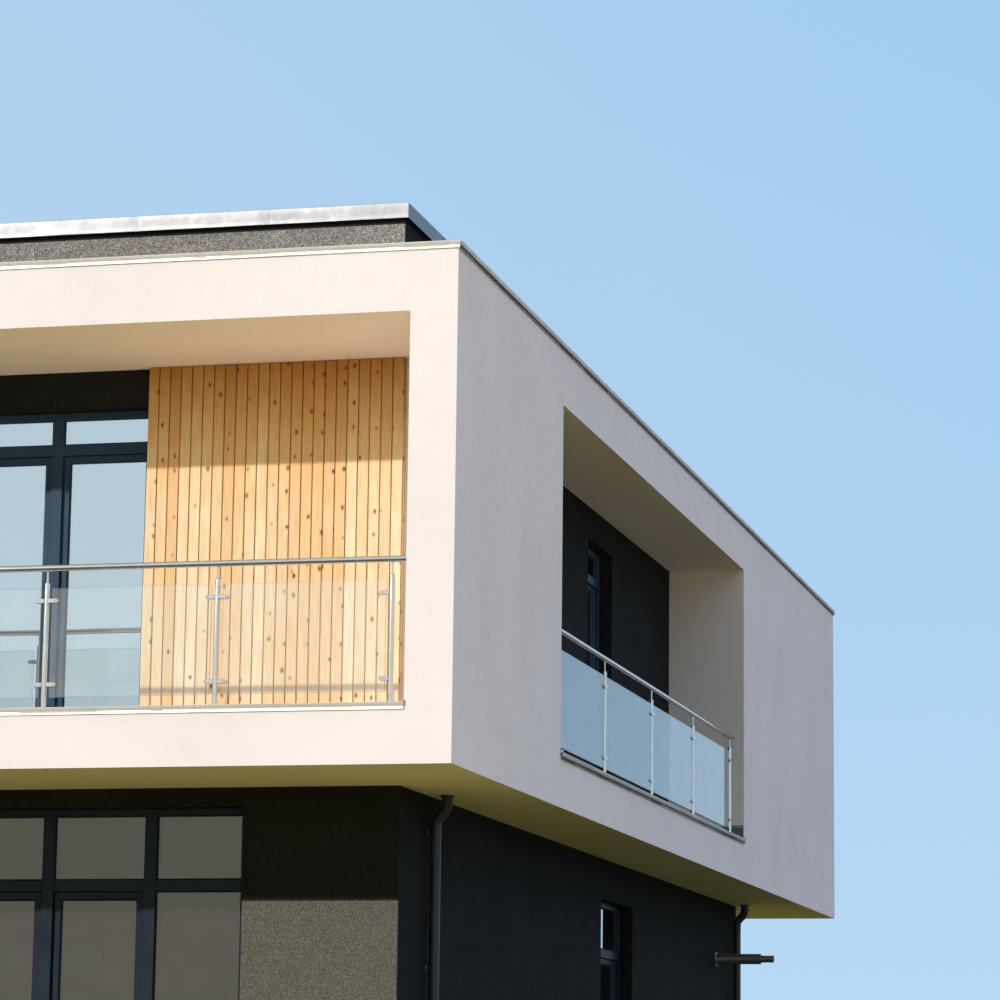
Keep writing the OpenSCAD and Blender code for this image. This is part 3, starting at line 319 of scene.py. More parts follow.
def oiled_larch():
    """Oiled larch, planed: pale honey, straight grained with darker late wood every few
    millimetres, knots that push the grain aside, and a tone of its own for every board. Painted
    shade darkens the tongue deep in each joint, and painted shade turns the boards darker and
    redder towards the top, under the soffit. It reads each board's own coordinates in metres:
    across, through, up."""
    made, add, place = start_material("oiled_larch")
    grain = add("Attribute", attribute_name="grain")["Vector"]
    tone = add("Attribute", attribute_name="tone")["Fac"]
    painted_shade_mask = add("Attribute", attribute_name="painted_shade_mask")["Fac"]
    shake = add("TexNoise", {"Vector": grain, "Scale": 1 / 0.018, "Detail": 3.0})["Color"]
    shaken = add("VectorMath", {0: shake, 1: (0.010, 0.010, 0.010), 2: grain},
        operation="MULTIPLY_ADD")[0]
    axes = add("SeparateXYZ", {0: shaken})
    face = add("CombineXYZ", {0: axes[0], 1: axes[2]})[0]
    face = add("VectorMath", {0: face, 1: (1.0, 0.62, 1.0)}, operation="MULTIPLY")[0]
    knot_field = 0.085     # at most one knot in each 85 mm of board
    cells = add("TexVoronoi", {"Vector": face, "Scale": 1 / knot_field},
        voronoi_dimensions="2D")
    dice = add("SeparateXYZ", {0: cells["Color"]})
    rare = add("MapRange", {0: tone, 3: 0.90, 4: 0.64})[0]
    grown = add("Math", {0: dice[0], 1: rare}, operation="GREATER_THAN")[0]
    radius = add("MapRange", {0: dice[1], 3: 0.03, 4: 0.13})[0]
    within = add("Math", {0: radius, 1: cells["Distance"]}, operation="SUBTRACT")[0]
    heart = add("MapRange", {0: within, 1: -0.01, 2: 0.04})[0]
    heart = add("Math", {0: heart, 1: grown}, operation="MULTIPLY")[0]
    dark = add("MapRange", {0: dice[2], 3: 0.4, 4: 0.92})[0]
    heart = add("Math", {0: heart, 1: dark}, operation="MULTIPLY")[0]
    halo = add("MapRange", {0: within, 1: -0.12, 2: 0.02, 4: 0.6})[0]
    halo = add("Math", {0: halo, 1: grown}, operation="MULTIPLY")[0]
    pull = add("MapRange", {0: cells["Distance"], 1: 0.05, 2: 0.5, 3: 1.0, 4: 0.0})[0]
    pull = add("Math", {0: pull, 1: grown}, operation="MULTIPLY")[0]
    slow = add("VectorMath", {0: grain, 1: (2.0, 2.0, 0.7)}, operation="MULTIPLY")[0]
    drift = add("TexNoise", {"Vector": slow, "Scale": 1.0})[0]
    drift = add("Math", {0: drift, 1: 0.09, 2: axes[0]}, operation="MULTIPLY_ADD")[0]
    drift = add("Math", {0: pull, 1: 0.016, 2: drift}, operation="MULTIPLY_ADD")[0]
    ring_step = 0.009      # growth rings are 3 mm apart, drawn coarser so that they show
    wave = add("Math", {0: drift, 1: math.tau / ring_step}, operation="MULTIPLY")[0]
    wave = add("Math", {0: wave}, operation="SINE")[0]
    late = add("MapRange", {0: wave, 1: 0.0, 2: 1.0, 4: 0.30})[0]
    drawn = add("VectorMath", {0: grain, 1: (1.0, 1.0, 0.04)}, operation="MULTIPLY")[0]
    fibre = add("TexNoise", {"Vector": drawn, "Scale": 1 / 0.010, "Detail": 3.0,
        "Roughness": 0.7})[0]
    patch = add("TexNoise", {"Vector": slow, "Scale": 1 / 0.20})[0]
    colour = add("Mix", {0: tone, 6: linear("FFF1CC"), 7: linear("EAC48C")},
        data_type="RGBA")[2]
    colour = layered(add, colour, (patch, 0.4, 0.7, 0.5, "F2C786"))
    colour = add("Mix", {0: late, 6: colour, 7: linear("BC803E")}, data_type="RGBA")[2]
    colour = layered(add, colour, (fibre, 0.45, 0.8, 0.42, "B97E3E"))
    colour = add("Mix", {0: halo, 6: colour, 7: linear("A0602C")}, data_type="RGBA")[2]
    colour = add("Mix", {0: heart, 6: colour, 7: linear("5E2E10")}, data_type="RGBA")[2]
    # Painted shade: the tongue deep in each joint is darker brown
    part = add("Math", {0: painted_shade_mask, 1: 0.65}, operation="MULTIPLY")[0]
    colour = add("Mix", {0: part, 6: colour, 7: linear("94602A")}, data_type="RGBA")[2]
    # Painted shade: the boards turn darker and redder towards the top, under the soffit's shadow
    up = add("SeparateXYZ", {0: place})[2]
    painted_soffit_shade = add("MapRange", {0: up, 1: HEAD_Z - 1.15, 2: HEAD_Z - 0.55})[0]
    tint = add("Mix", {0: painted_soffit_shade, 6: linear("FFFFFF"), 7: linear("FFF3DD")},
        data_type="RGBA")[2]
    painted_soffit_shade = add("MapRange", {0: up, 1: HEAD_Z - 0.65, 2: HEAD_Z})[0]
    tint = add("Mix", {0: painted_soffit_shade, 6: tint, 7: linear("BC9561")}, data_type="RGBA")[2]
    colour = add("Mix", {0: 1.0, 6: colour, 7: tint}, data_type="RGBA",
        blend_type="MULTIPLY")[2]
    relief = add("Bump", {"Distance": 0.0004, "Height": fibre})[0]
    add("OutputMaterial", {0: add("BsdfPrincipled", {"Base Color": colour, "Roughness": 0.5,
        "Specular IOR Level": 0.15, "Normal": relief})[0]})
    return made


def sawn_batten():
    """Sawn and impregnated batten: dull brown, behind the boards."""
    made, add, place = start_material("impregnated_batten")
    fibre = add("TexNoise", {"Vector": place, "Scale": 1 / 0.03, "Detail": 3.0})[0]
    colour = add("Mix", {0: fibre, 6: linear("6A5236"), 7: linear("453625")},
        data_type="RGBA")[2]
    relief = add("Bump", {"Distance": 0.001, "Height": fibre})[0]
    add("OutputMaterial", {0: add("BsdfPrincipled", {"Base Color": colour, "Roughness": 0.85,
        "Normal": relief})[0]})
    return made


def powder_coat():
    """Powder-coated aluminium, anthracite blue: satin, with a faint orange peel and dust. It is
    a lighter blue on the upper storey, above the upper floor's top."""
    made, add, place = start_material("powder_coated_aluminium")
    peel = add("TexNoise", {"Vector": place, "Scale": 1 / 0.004})[0]
    dust_and_sunlight = add("TexNoise", {"Vector": place, "Scale": 1 / 0.35, "Detail": 4.0})[0]
    dark = layered(add, linear("1B2834"), (dust_and_sunlight, 0.4, 0.8, 1.0, "232F3A"))
    upstairs_blue = layered(add, linear("294256"), (dust_and_sunlight, 0.4, 0.8, 1.0, "324C60"))
    upstairs = add("SeparateXYZ", {0: place})[2]
    upstairs = add("Math", {0: upstairs, 1: FLOOR_Z}, operation="GREATER_THAN")[0]
    colour = add("Mix", {0: upstairs, 6: dark, 7: upstairs_blue}, data_type="RGBA")[2]
    rough = add("MapRange", {0: dust_and_sunlight, 1: 0.3, 2: 0.8, 3: 0.32, 4: 0.48})[0]
    relief = add("Bump", {"Distance": 0.0002, "Height": peel})[0]
    add("OutputMaterial", {0: add("BsdfPrincipled", {"Base Color": colour,
        "Roughness": rough, "Specular IOR Level": 0.12, "Normal": relief})[0]})
    return made


def cream_sheet():
    """Coil-coated steel sheet, cream with a metallic lacquer: satin, so that it shines in the
    sun and darkens beside it, with soft waves and dust."""
    made, add, place = start_material("cream_coil_coated_steel")
    waves = add("TexNoise", {"Vector": place, "Scale": 1 / 0.4})[0]
    dust_and_sunlight = add("TexNoise", {"Vector": place, "Scale": 1 / 0.12, "Detail": 4.0})[0]
    colour = layered(add, linear("EAE6DC"), (dust_and_sunlight, 0.45, 0.8, 1.0, "D6D0C4"))
    rough = add("MapRange", {0: dust_and_sunlight, 1: 0.3, 2: 0.8, 3: 0.36, 4: 0.55})[0]
    relief = add("Bump", {"Distance": 0.004, "Height": waves})[0]
    add("OutputMaterial", {0: add("BsdfPrincipled", {"Base Color": colour, "Metallic": 0.35,
        "Roughness": rough, "Normal": relief})[0]})
    return made


def galvanised_sheet():
    """Hot-dip galvanised steel: grey, with crystals a few centimetres across that turn the
    light a little differently, and shallow dents from walking and folding."""
    made, add, place = start_material("galvanised_steel_sheet")
    crystal = add("TexVoronoi", {"Vector": place, "Scale": 1 / 0.03})["Color"]
    tint = add("SeparateXYZ", {0: crystal})[0]
    stain = add("TexNoise", {"Vector": place, "Scale": 1 / 0.22, "Detail": 4.0})[0]
    dents = add("TexNoise", {"Vector": place, "Scale": 1 / 0.3})[0]
    colour = add("Mix", {0: tint, 6: linear("969592"), 7: linear("8E8D8B")},
        data_type="RGBA")[2]
    colour = layered(add, colour, (stain, 0.45, 0.8, 0.25, "84898C"))
    rough = add("MapRange", {0: stain, 1: 0.3, 2: 0.8, 3: 0.44, 4: 0.5})[0]
    relief = add("Bump", {"Distance": 0.006, "Height": dents})[0]
    add("OutputMaterial", {0: add("BsdfPrincipled", {"Base Color": colour, "Metallic": 1.0,
        "Roughness": rough, "Normal": relief})[0]})
    return made


def brushed_stainless():
    """Brushed stainless steel tube: silvery, its fine brush lines soften what it mirrors."""
    made, add, place = start_material("brushed_stainless_steel")
    lines = add("TexNoise", {"Vector": place, "Scale": 1 / 0.003, "Roughness": 0.8})[0]
    smear = add("TexNoise", {"Vector": place, "Scale": 1 / 0.09, "Detail": 3.0})[0]
    colour = add("Mix", {0: smear, 6: linear("EBE8E0"), 7: linear("D6D2C8")},
        data_type="RGBA")[2]
    rough = add("MapRange", {0: lines, 1: 0.3, 2: 0.7, 3: 0.09, 4: 0.20})[0]
    relief = add("Bump", {"Distance": 0.0001, "Height": lines})[0]
    add("OutputMaterial", {0: add("BsdfPrincipled", {"Base Color": colour, "Metallic": 1.0,
        "Roughness": rough, "Normal": relief})[0]})
    return made


def anthracite_pipe():
    """Coated steel pipe, anthracite: satin, with patches of dust."""
    made, add, place = start_material("anthracite_coated_steel")
    dust_and_sunlight = add("TexNoise", {"Vector": place, "Scale": 1 / 0.14, "Detail": 4.0})[0]
    colour = layered(add, linear("282C31"), (dust_and_sunlight, 0.4, 0.8, 1.0, "3C4045"))
    rough = add("MapRange", {0: dust_and_sunlight, 1: 0.3, 2: 0.8, 3: 0.34, 4: 0.5})[0]
    relief = add("Bump", {"Distance": 0.0006, "Height": dust_and_sunlight})[0]
    add("OutputMaterial", {0: add("BsdfPrincipled", {"Base Color": colour,
        "Roughness": rough, "Normal": relief})[0]})
    return made


def seal_rubber():
    """EPDM rubber of gaskets and clamp pads: black and matt, with a faint bloom."""
    made, add, place = start_material("black_epdm_rubber")
    bloom = add("TexNoise", {"Vector": place, "Scale": 1 / 0.05, "Detail": 3.0})[0]
    colour = add("Mix", {0: bloom, 6: linear("141516"), 7: linear("232425")},
        data_type="RGBA")[2]
    relief = add("Bump", {"Distance": 0.0002, "Height": bloom})[0]
    add("OutputMaterial", {0: add("BsdfPrincipled", {"Base Color": colour, "Roughness": 0.7,
        "Normal": relief})[0]})
    return made


def spacer_bar():
    """Aluminium spacer bar between the panes: dull grey with rows of small vent holes."""
    made, add, place = start_material("aluminium_spacer_bar")
    holes = add("TexNoise", {"Vector": place, "Scale": 1 / 0.012})[0]
    colour = add("Mix", {0: holes, 6: linear("8D9194"), 7: linear("6F7376")},
        data_type="RGBA")[2]
    add("OutputMaterial", {0: add("BsdfPrincipled", {"Base Color": colour, "Metallic": 0.8,
        "Roughness": 0.5})[0]})
    return made


def float_glass(name, tint, metallic, veil, rough):
    """Float glass, slightly wavy, with a film of dust that scatters a share, veil, of the
    light. It passes lamps and scattered light straight through, in its tint."""
    made, add, place = start_material(name)
    dust_and_sunlight = add("TexNoise", {"Vector": place, "Scale": 1 / 0.3, "Detail": 4.0})[0]
    waves = add("TexNoise", {"Vector": place, "Scale": 1 / 0.7, "Detail": 1.0})[0]
    passing = add("MapRange", {0: dust_and_sunlight, 1: 0.3, 2: 0.8, 3: 1.0 - veil / 2, 4: 1.0 - veil})[0]
    relief = add("Bump", {"Distance": 0.0012, "Height": waves})[0]
    glass = add("BsdfPrincipled", {"Base Color": linear(tint), "Metallic": metallic,
        "Roughness": rough, "IOR": 1.52, "Transmission Weight": passing, "Normal": relief})[0]
    ray = add("LightPath")
    lamps = add("Math", {0: ray["Is Shadow Ray"], 1: ray["Is Diffuse Ray"]},
        operation="MAXIMUM")[0]
    through = add("BsdfTransparent", {0: linear(tint)})[0]
    add("OutputMaterial", {0: add("MixShader", {0: lamps, 1: glass, 2: through})[0]})
    return made


def skin(points, closed=False):
    """Faces over a grid of stations by outline points: a quad between two neighbours of one
    station and the same two of the next. The outline closes on itself, and so do the
    stations if closed; an open run gets a cap at both ends."""
    stations, count = points.shape[:2]
    here = np.arange(stations if closed else stations - 1)[:, None] * count
    ahead = (here + count) % (stations * count)
    i = np.arange(count)[None]
    j = (i + 1) % count
    quads = np.stack([here + i, here + j, ahead + j, ahead + i], -1).reshape(-1, 4)
    last = (stations - 1) * count
    caps = [] if closed else [list(range(count))[::-1], list(range(last, last + count))]
    return points.reshape(-1, 3), quads, caps


def carried(outline, path, across, up, closed=False):
    """An outline of (u, v) points carried along a path: point = station + u * across + v * up.
    The outline, across and up may differ from station to station."""
    path = np.asarray(path, float)
    outline = np.broadcast_to(outline, (len(path),) + np.shape(outline)[-2:])
    across = np.broadcast_to(across, path.shape)[:, None]
    up = np.broadcast_to(up, path.shape)[:, None]
    return skin(path[:, None] + outline[..., :1] * across + outline[..., 1:] * up, closed)


def turned(rings, origin, axis=(0, 0, 1), sides=24):
    """A turned piece: circles of the listed (along, radius) pairs about an axis. Point =
    origin + along * axis + radius * (cosine * side + sine * the side square to it)."""
    along, radius = np.array(rings, float).T
    axis = np.array(axis, float)
    side = np.cross(axis, (0.0, 1.0, 0.0) if abs(axis[1]) < 0.9 else (1.0, 0.0, 0.0))
    side /= np.linalg.norm(side)
    angle = np.arange(sides) * math.tau / sides
    circle = np.outer(np.cos(angle), side) + np.outer(np.sin(angle), np.cross(axis, side))
    return skin(np.array(origin, float) + along[:, None, None] * axis
        + radius[:, None, None] * circle)


def slab(low, high, ease=0.003):
    """A box with all twelve edges eased: an eight-sided outline at four heights, drawn in
    by the easing at the first and the last."""
    low, high = np.asarray(low, float), np.asarray(high, float)
    middle, half = (low + high) / 2, (high - low) / 2
    ease = min(ease, 0.45 * half.min())
    signs = np.array([(-1, -1), (1, -1), (1, 1), (-1, 1)], float)
    cut = np.repeat(signs, 2, 0) * (half[:2] - ease)
    flush = np.array([(-1, 0), (0, -1), (0, -1), (1, 0), (1, 0), (0, 1), (0, 1), (-1, 0)], float)
    wide = cut + flush * ease
    levels = [(-half[2], cut), (ease - half[2], wide), (half[2] - ease, wide), (half[2], cut)]
    points = np.array([[(x, y, z) for x, y in ring] for z, ring in levels])
    return skin(points + middle)


def domed(end, radius, ease=0.006):
    """Rings that round off a tube's end. At each angle of a quarter turn, along = end - ease
    * (1 - sine), and the radius is less by ease * (1 - cosine)."""
    return [(end - ease * (1 - math.sin(a)), radius - ease * (1 - math.cos(a)))
        for a in np.linspace(0, math.pi / 2, 5)]


def hoop(x0, x1, z0, z1, outline, foot=1.0):
    """A rectangular hoop with mitred corners: each outline point (inset, depth) runs round
    the rectangle drawn in by its inset. The bottom side's inset is times foot."""
    inset, depth = np.array(outline, float).T
    left, right, low, top = x0 + inset, x1 - inset, z0 + inset * foot, z1 - inset
    rows = [(left, low), (right, low), (right, top), (left, top)]
    return skin(np.stack([np.stack([x, depth, z], -1) for x, z in rows]), True)


def placed(solid, turn, origin):
    """Solid turned about Z by turn degrees, counter-clockwise, and moved to origin."""
    points, quads, caps = solid
    a = math.radians(turn)
    spin = np.array([(math.cos(a), math.sin(a), 0), (-math.sin(a), math.cos(a), 0), (0, 0, 1)])
    return points @ spin + np.asarray(origin, float), quads, caps


def mirrored(solid):
    """Solid mirrored in X."""
    points, quads, caps = solid
    return points * (-1, 1, 1), quads, caps


def make_piece(name, parts, body="house", stands_for=(), smooth=30, marks=None):
    """One mesh from parts, a list of (solids, material), with its faces turned outwards.
    Marks are point attributes: name to an array with a row or a number for each point."""
    points, faces, wears, start = [], [], [], 0
    for index, (group, _) in enumerate(parts):
        for solid_points, quads, caps in group:
            points.append(solid_points)
            faces += (quads + start).tolist() + [[start + k for k in cap] for cap in caps]
            wears += [index] * (len(quads) + len(caps))
            start += len(solid_points)
    mesh = bpy.data.meshes.new(name)
    mesh.from_pydata(np.concatenate(points), [], faces)
    for _, material in parts:
        mesh.materials.append(material)
    mesh.polygons.foreach_set("material_index", wears)
    for mark, values in (marks or {}).items():
        kind, field = ("FLOAT_VECTOR", "vector") if values.ndim > 1 else ("FLOAT", "value")
        mesh.attributes.new(mark, kind, "POINT").data.foreach_set(field, values.ravel())
    shell = bmesh.new()
    shell.from_mesh(mesh)
    bmesh.ops.recalc_face_normals(shell, faces=shell.faces)
    shell.to_mesh(mesh)
    shell.free()
    mesh.shade_smooth()
    mesh.set_sharp_from_angle(angle=math.radians(smooth))
    made = bpy.data.objects.new(name, mesh)
    bpy.context.scene.collection.objects.link(made)
    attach(made, body)
    if stands_for:
        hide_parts(*stands_for)
    return made


def wear(material, *nodes):
    """Gives CAD nodes a material."""
    for node in nodes:
        mesh = NODES[node].data
        mesh.materials.clear()
        mesh.materials.append(material)


# Joinery sizes, measured on the left-hand ground floor unit: its first jamb, its two fixed
# leaves, its first two panes, which have no leaf, and the pane in its first leaf
JAMB_LOW, JAMB_HIGH = solids_of("ground_unit_uprights")[0]
(LEAF_LOW, LEAF_HIGH), (NEXT_LEAF_LOW, _) = solids_of("ground_fixed_leaves")
UNIT_PANES = solids_of("ground_unit_glass")
(PANE_LOW, PANE_HIGH), (TOP_LIGHT_LOW, _) = UNIT_PANES[:2]
(LEAF_PANE_LOW, _), = inside(UNIT_PANES, LEAF_LOW, LEAF_HIGH)
FRAME_W, FRAME_T = (JAMB_HIGH - JAMB_LOW)[:2]
MULLION_W = NEXT_LEAF_LOW[0] - LEAF_HIGH[0]
TRANSOM_H = TOP_LIGHT_LOW[2] - PANE_HIGH[2]
LEAF_T = LEAF_HIGH[1] - LEAF_LOW[1]
STILE_W, LEAF_ROOM, KICK_H = LEAF_PANE_LOW - LEAF_LOW
FIXED_ROOM = PANE_LOW[1] - JAMB_LOW[1]
HAIR = 0.003             # the joint that shows round a shut leaf


def seat_of(low, high):
    """Turn, origin and width of a flat unit in a wall: its local X runs along the wall,
    local Y into it, and its origin is the foot of its outer face's middle line."""
    middle, size = (low + high) / 2, high - low
    if size[0] < size[1]:
        right = middle[0] > 0
        outer = high[0] if right else low[0]
        return (90 if right else -90), (outer, middle[1], low[2]), size[1]
    front = middle[1] < 0
    return (0 if front else 180), (middle[0], low[1] if front else high[1], low[2]), size[0]


def glazing(boxes, room):
    """For each pane box: the pane with eased edges, a sloped bead and a gasket on both
    faces, and the spacer bar round the cavity. Room is the depth in front of the pane."""
    panes, beads, seals, spacers = [], [], [], []
    for low, high in boxes:
        turn, origin, width = seat_of(low, high)
        half, height = width / 2, high[2] - low[2]
        thick = min(high[0] - low[0], high[1] - low[1])
        rebate, lip, sight = 0.001, 0.007, 0.005
        rect = (-half, half, 0.0, height)
        local = [
            (panes, slab((rebate - half, 0, rebate), (half - rebate, thick, height - rebate))),
            (beads, hoop(*rect, [(0, 0.004 - room), (sight, 0.010 - room), (lip, -0.004),
                (lip, -0.002), (0, -0.002)])),
            (beads, hoop(*rect, [(0, thick + 0.002), (lip, thick + 0.002), (lip, thick + 0.006),
                (sight, thick + room - 0.008), (0, thick + room - 0.004)])),
            (seals, hoop(*rect, [(0, -0.002), (lip + 0.003, -0.002), (lip + 0.004, 0), (0, 0)])),
            (seals, hoop(*rect, [(0, thick), (lip + 0.004, thick), (lip + 0.003, thick + 0.002),
                (0, thick + 0.002)])),
            (spacers, hoop(*rect, [(lip + 0.001, 0.006), (lip + 0.007, 0.006),
                (lip + 0.007, thick - 0.006), (lip + 0.001, thick - 0.006)]))]
        for group, solid in local:
            group.append(placed(solid, turn, origin))
    return panes, beads, seals, spacers


def unit_glazing(leaf_boxes, panes):
    """Glazing of leaves and of the lights fixed straight in the frame, which are the panes
    that no leaf holds and lie deeper behind their face."""
    in_leaf = [pane for low, high in leaf_boxes for pane in inside(panes, low, high)]
    held = {id(pane) for pane in in_leaf}
    fixed = [pane for pane in panes if id(pane) not in held]
    sets = glazing(in_leaf, LEAF_ROOM), glazing(fixed, FIXED_ROOM)
    return [of_leaves + of_fixed for of_leaves, of_fixed in zip(*sets)]


def leaf_outline(gap):
    """Outline of a stile: eased outer face, a step to the glazing rebate, plain back."""
    return [(gap, 0.002), (gap + 0.002, 0), (STILE_W - 0.004, 0), (STILE_W, 0.004),
        (STILE_W, LEAF_T - 0.003), (STILE_W - 0.003, LEAF_T), (gap + 0.002, LEAF_T),
        (gap, LEAF_T - 0.002)]


def leaves(boxes, foot=1.0, gap=HAIR):
    """Mitred leaves in the given boxes, with the hair joint that shows round a shut leaf,
    and the gasket that closes it."""
    made, seals = [], []
    for low, high in boxes:
        turn, origin, width = seat_of(low, high)
        half, height = width / 2, high[2] - low[2]
        rect = (-half, half, 0.0, height)
        made.append(placed(hoop(*rect, leaf_outline(gap), foot), turn, origin))
        seals.append(placed(hoop(*rect, [(0.0002, 0.012), (gap, 0.012), (gap, 0.030),
            (0.0002, 0.030)]), turn, origin))
    return made, seals


def frame_outline():
    """Outline of a frame member: eased face, a shallow weather groove, plain back."""
    return [(0, 0.002), (0.002, 0), (0.036, 0), (0.037, 0.0025), (0.040, 0.0025), (0.041, 0),
        (FRAME_W - 0.003, 0), (FRAME_W, 0.003), (FRAME_W, FRAME_T), (0, FRAME_T)]


def framed_units(frames_node, leaves_node, glass_node, material, glass, prefix, foot):
    """Frame, transom, mullion, leaves and glazing for each unit of three CAD nodes. The
    leaves' bottom rail is foot times as wide as their stiles."""
    frames, leaf_boxes, panes = map(solids_of, (frames_node, leaves_node, glass_node))
    bars = []
    for low, high in frames:
        turn, origin, width = seat_of(low, high)
        height, half = high[2] - low[2], width / 2
        bars.append(placed(hoop(-half, half, 0, height, frame_outline()), turn, origin))
        held = inside(leaf_boxes, low - 0.1, high + 0.1)
        transom = held[0][1][2] - low[2]
        bars.append(placed(slab((FRAME_W - half, 0, transom), (half - FRAME_W, FRAME_T,
            transom + TRANSOM_H)), turn, origin))
        if len(held) > 1:
            for foot_z, top_z in ((FRAME_W, transom), (transom + TRANSOM_H, height - FRAME_W)):
                bars.append(placed(slab((-MULLION_W / 2, 0, foot_z),
                    (MULLION_W / 2, FRAME_T, top_z)), turn, origin))
    sashes, hair_seals = leaves(leaf_boxes, foot)
    all_panes, beads, seals, spacers = unit_glazing(leaf_boxes, panes)
    make_piece(prefix + "_frames", [(bars, material)],
        stands_for=[frames_node])
    make_piece(prefix + "_leaves", [(sashes + beads, material), (seals + hair_seals, RUBBER)],
        stands_for=[leaves_node])
    make_piece(prefix + "_panes", [(all_panes, glass), (spacers, SPACER)],
        stands_for=[glass_node])


def ground_units():
    """The two four-light units: members on the CAD's own boxes, fixed and opening leaves."""
    members = [slab(low, high) for low, high in
        solids_of("ground_unit_uprights") + solids_of("ground_unit_rails")]
    fixed = solids_of("ground_fixed_leaves")
    sashes, hair_seals = leaves(fixed, KICK_H / STILE_W)
    all_panes, beads, seals, spacers = unit_glazing(fixed, UNIT_PANES)
    make_piece("ground_unit_members", [(members + beads, COAT), (seals, RUBBER)],
        stands_for=["ground_unit_uprights", "ground_unit_rails"])
    make_piece("ground_fixed_leaf_frames", [(sashes, COAT), (hair_seals, RUBBER)],
        stands_for=["ground_fixed_leaves"])
    make_piece("ground_unit_panes", [(all_panes, GROUND_GLASS), (spacers, SPACER)],
        stands_for=["ground_unit_glass"])


def hinge_halves(letter, side, back):
    """The door's upper half of each hinge: a knuckle turned about the hinge's axis, and a
    plate between the knuckle and the back of the leaf. The frame has the lower halves."""
    pin = [j for j in frame["joints"] if j["name"] == f"door_{letter}_hinge"][0]["pos_m"]
    knuckle_r, knuckle_h, plate_w, gap, near = 0.009, 0.060, 0.036, 0.0003, 0.2
    levels = sorted({round(float(low[2]), 4) for low, high in solids_of("door_hinges")
        if abs((low[0] + high[0]) / 2 - pin[0]) < near})
    x0, x1 = sorted((pin[0], pin[0] - side * plate_w))
    made = []
    for level in levels:
        foot = level + knuckle_h + gap
        made.append(turned([(0, knuckle_r - 0.001), (0.001, knuckle_r),
            (knuckle_h - 0.002, knuckle_r), (knuckle_h, knuckle_r - 0.002)],
            (pin[0], pin[1], foot)))
        made.append(slab((x0, back, foot), (x1, pin[1] - knuckle_r / 2, foot + knuckle_h),
            0.001))
    return made


def lever_handle(low, high, side):
    """A backplate, a round rose and a lever. The lever's oval section is carried out of the
    door, through a quarter circle and towards the hinges, and narrows at its tip."""
    plate_half, plate_tall, plate_t, neck = 0.014, 0.140, 0.008, 0.048
    x = high[0] - plate_half if side < 0 else low[0] + plate_half
    y, z = low[1], (low[2] + high[2]) / 2
    reach = high[0] - low[0] - plate_half
    bend = np.linspace(0, math.pi / 2, 7)
    path = [(x, y + 0.004, z)] + [(x + side * neck / 3 * (1 - math.cos(a)),
        y + neck * 2 / 3 + neck / 3 * math.sin(a), z) for a in bend]
    path += [(x + side * (neck / 3 + t), y + neck, z) for t in (0.03, 0.07, reach - 0.02, reach)]
    path = np.array(path)
    along = np.gradient(path, axis=0)
    along /= np.linalg.norm(along, axis=1, keepdims=True)
    wide = np.full(len(path), 0.009)
    wide[-3:] = 0.0085, 0.0085, 0.0055
    angle = np.arange(16) * math.tau / 16
    grip = np.stack([np.cos(angle) * 0.75, np.sin(angle)], -1)[None] * wide[:, None, None]
    return [carried(grip, path, np.cross(along, (0, 0, 1)), (0, 0, 1)),
        slab((x - plate_half, y, z - plate_tall / 2), (x + plate_half, y + plate_t,
            z + plate_tall / 2), 0.002),
        turned([(0, 0.013), (0.010, 0.013), (0.012, 0.011)], (x, y + 0.004, z), (0, 1, 0))]


def door_leaf(letter, side):
    """An opening leaf with its glazing, hinge halves and lever handle, on its own body.
    Side is -1 where it hangs on the left and 1 on the right."""
    body = "door_leaf_" + letter
    (low, high), = solids_of(body + "_glass")
    outer_low = low - (STILE_W, LEAF_ROOM, KICK_H)
    outer_high = high + (STILE_W, LEAF_ROOM, STILE_W)
    sash, _ = leaves([(outer_low, outer_high)], KICK_H / STILE_W, 0.0)
    panes, beads, seals, spacers = glazing([(low, high)], LEAF_ROOM)
    hinges = hinge_halves(letter, side, outer_high[1])
    handle = lever_handle(*corners(body + "_handle"), side)
    make_piece(body + "_joinery", [(sash + beads, COAT), (seals, RUBBER), (hinges, STEEL)],
        body, [body + "_frame"])
    make_piece(body + "_pane", [(panes, GROUND_GLASS), (spacers, SPACER)], body,
        [body + "_glass"])
    make_piece(body + "_lever", [(handle, STEEL)], body, [body + "_handle"])


# Larch boards, 78 mm wide with joints of 9 mm
BOARD_T = 0.022
BOARD_JOINT = 0.009
BOARD_PITCH = 0.087


def single_board(x, wide, low, high, number, last, dice):
    """A board with eased edges, a slightly cupped face and, unless it is the last, a tongue
    into the next. Depth of its face = the field's front + 3 mm + bow * sin(turns up its
    height), and it sways sideways in the same way. Its foot is cut a little high or low."""
    bow = dice.uniform(-0.0012, 0.0012)
    sway = dice.uniform(-0.001, 0.001)
    cup = dice.uniform(0.0, 0.0012)
    lift = dice.uniform(-0.004, 0.004)
    ease = 0.0025
    rise = np.linspace(low[2], high[2] - 0.004, 9)
    turn = (rise - low[2]) / (high[2] - low[2])
    path = np.stack([x + sway * np.sin(turn * 5), low[1] + 0.003
        + bow * np.sin(turn * 4 + number), rise], -1)
    path[0, 2] += lift
    tongue = wide + (0.0 if last else BOARD_JOINT + 0.002)
    outline = [(0, BOARD_T), (0, ease), (ease, 0), (wide * 0.3, cup), (wide * 0.7, cup),
        (wide - ease, 0), (wide, ease), (wide, 0.0085), (tongue, 0.009), (tongue, 0.015),
        (wide, 0.0155), (wide, BOARD_T)]
    return carried(outline, path, (1, 0, 0), (0, 1, 0))


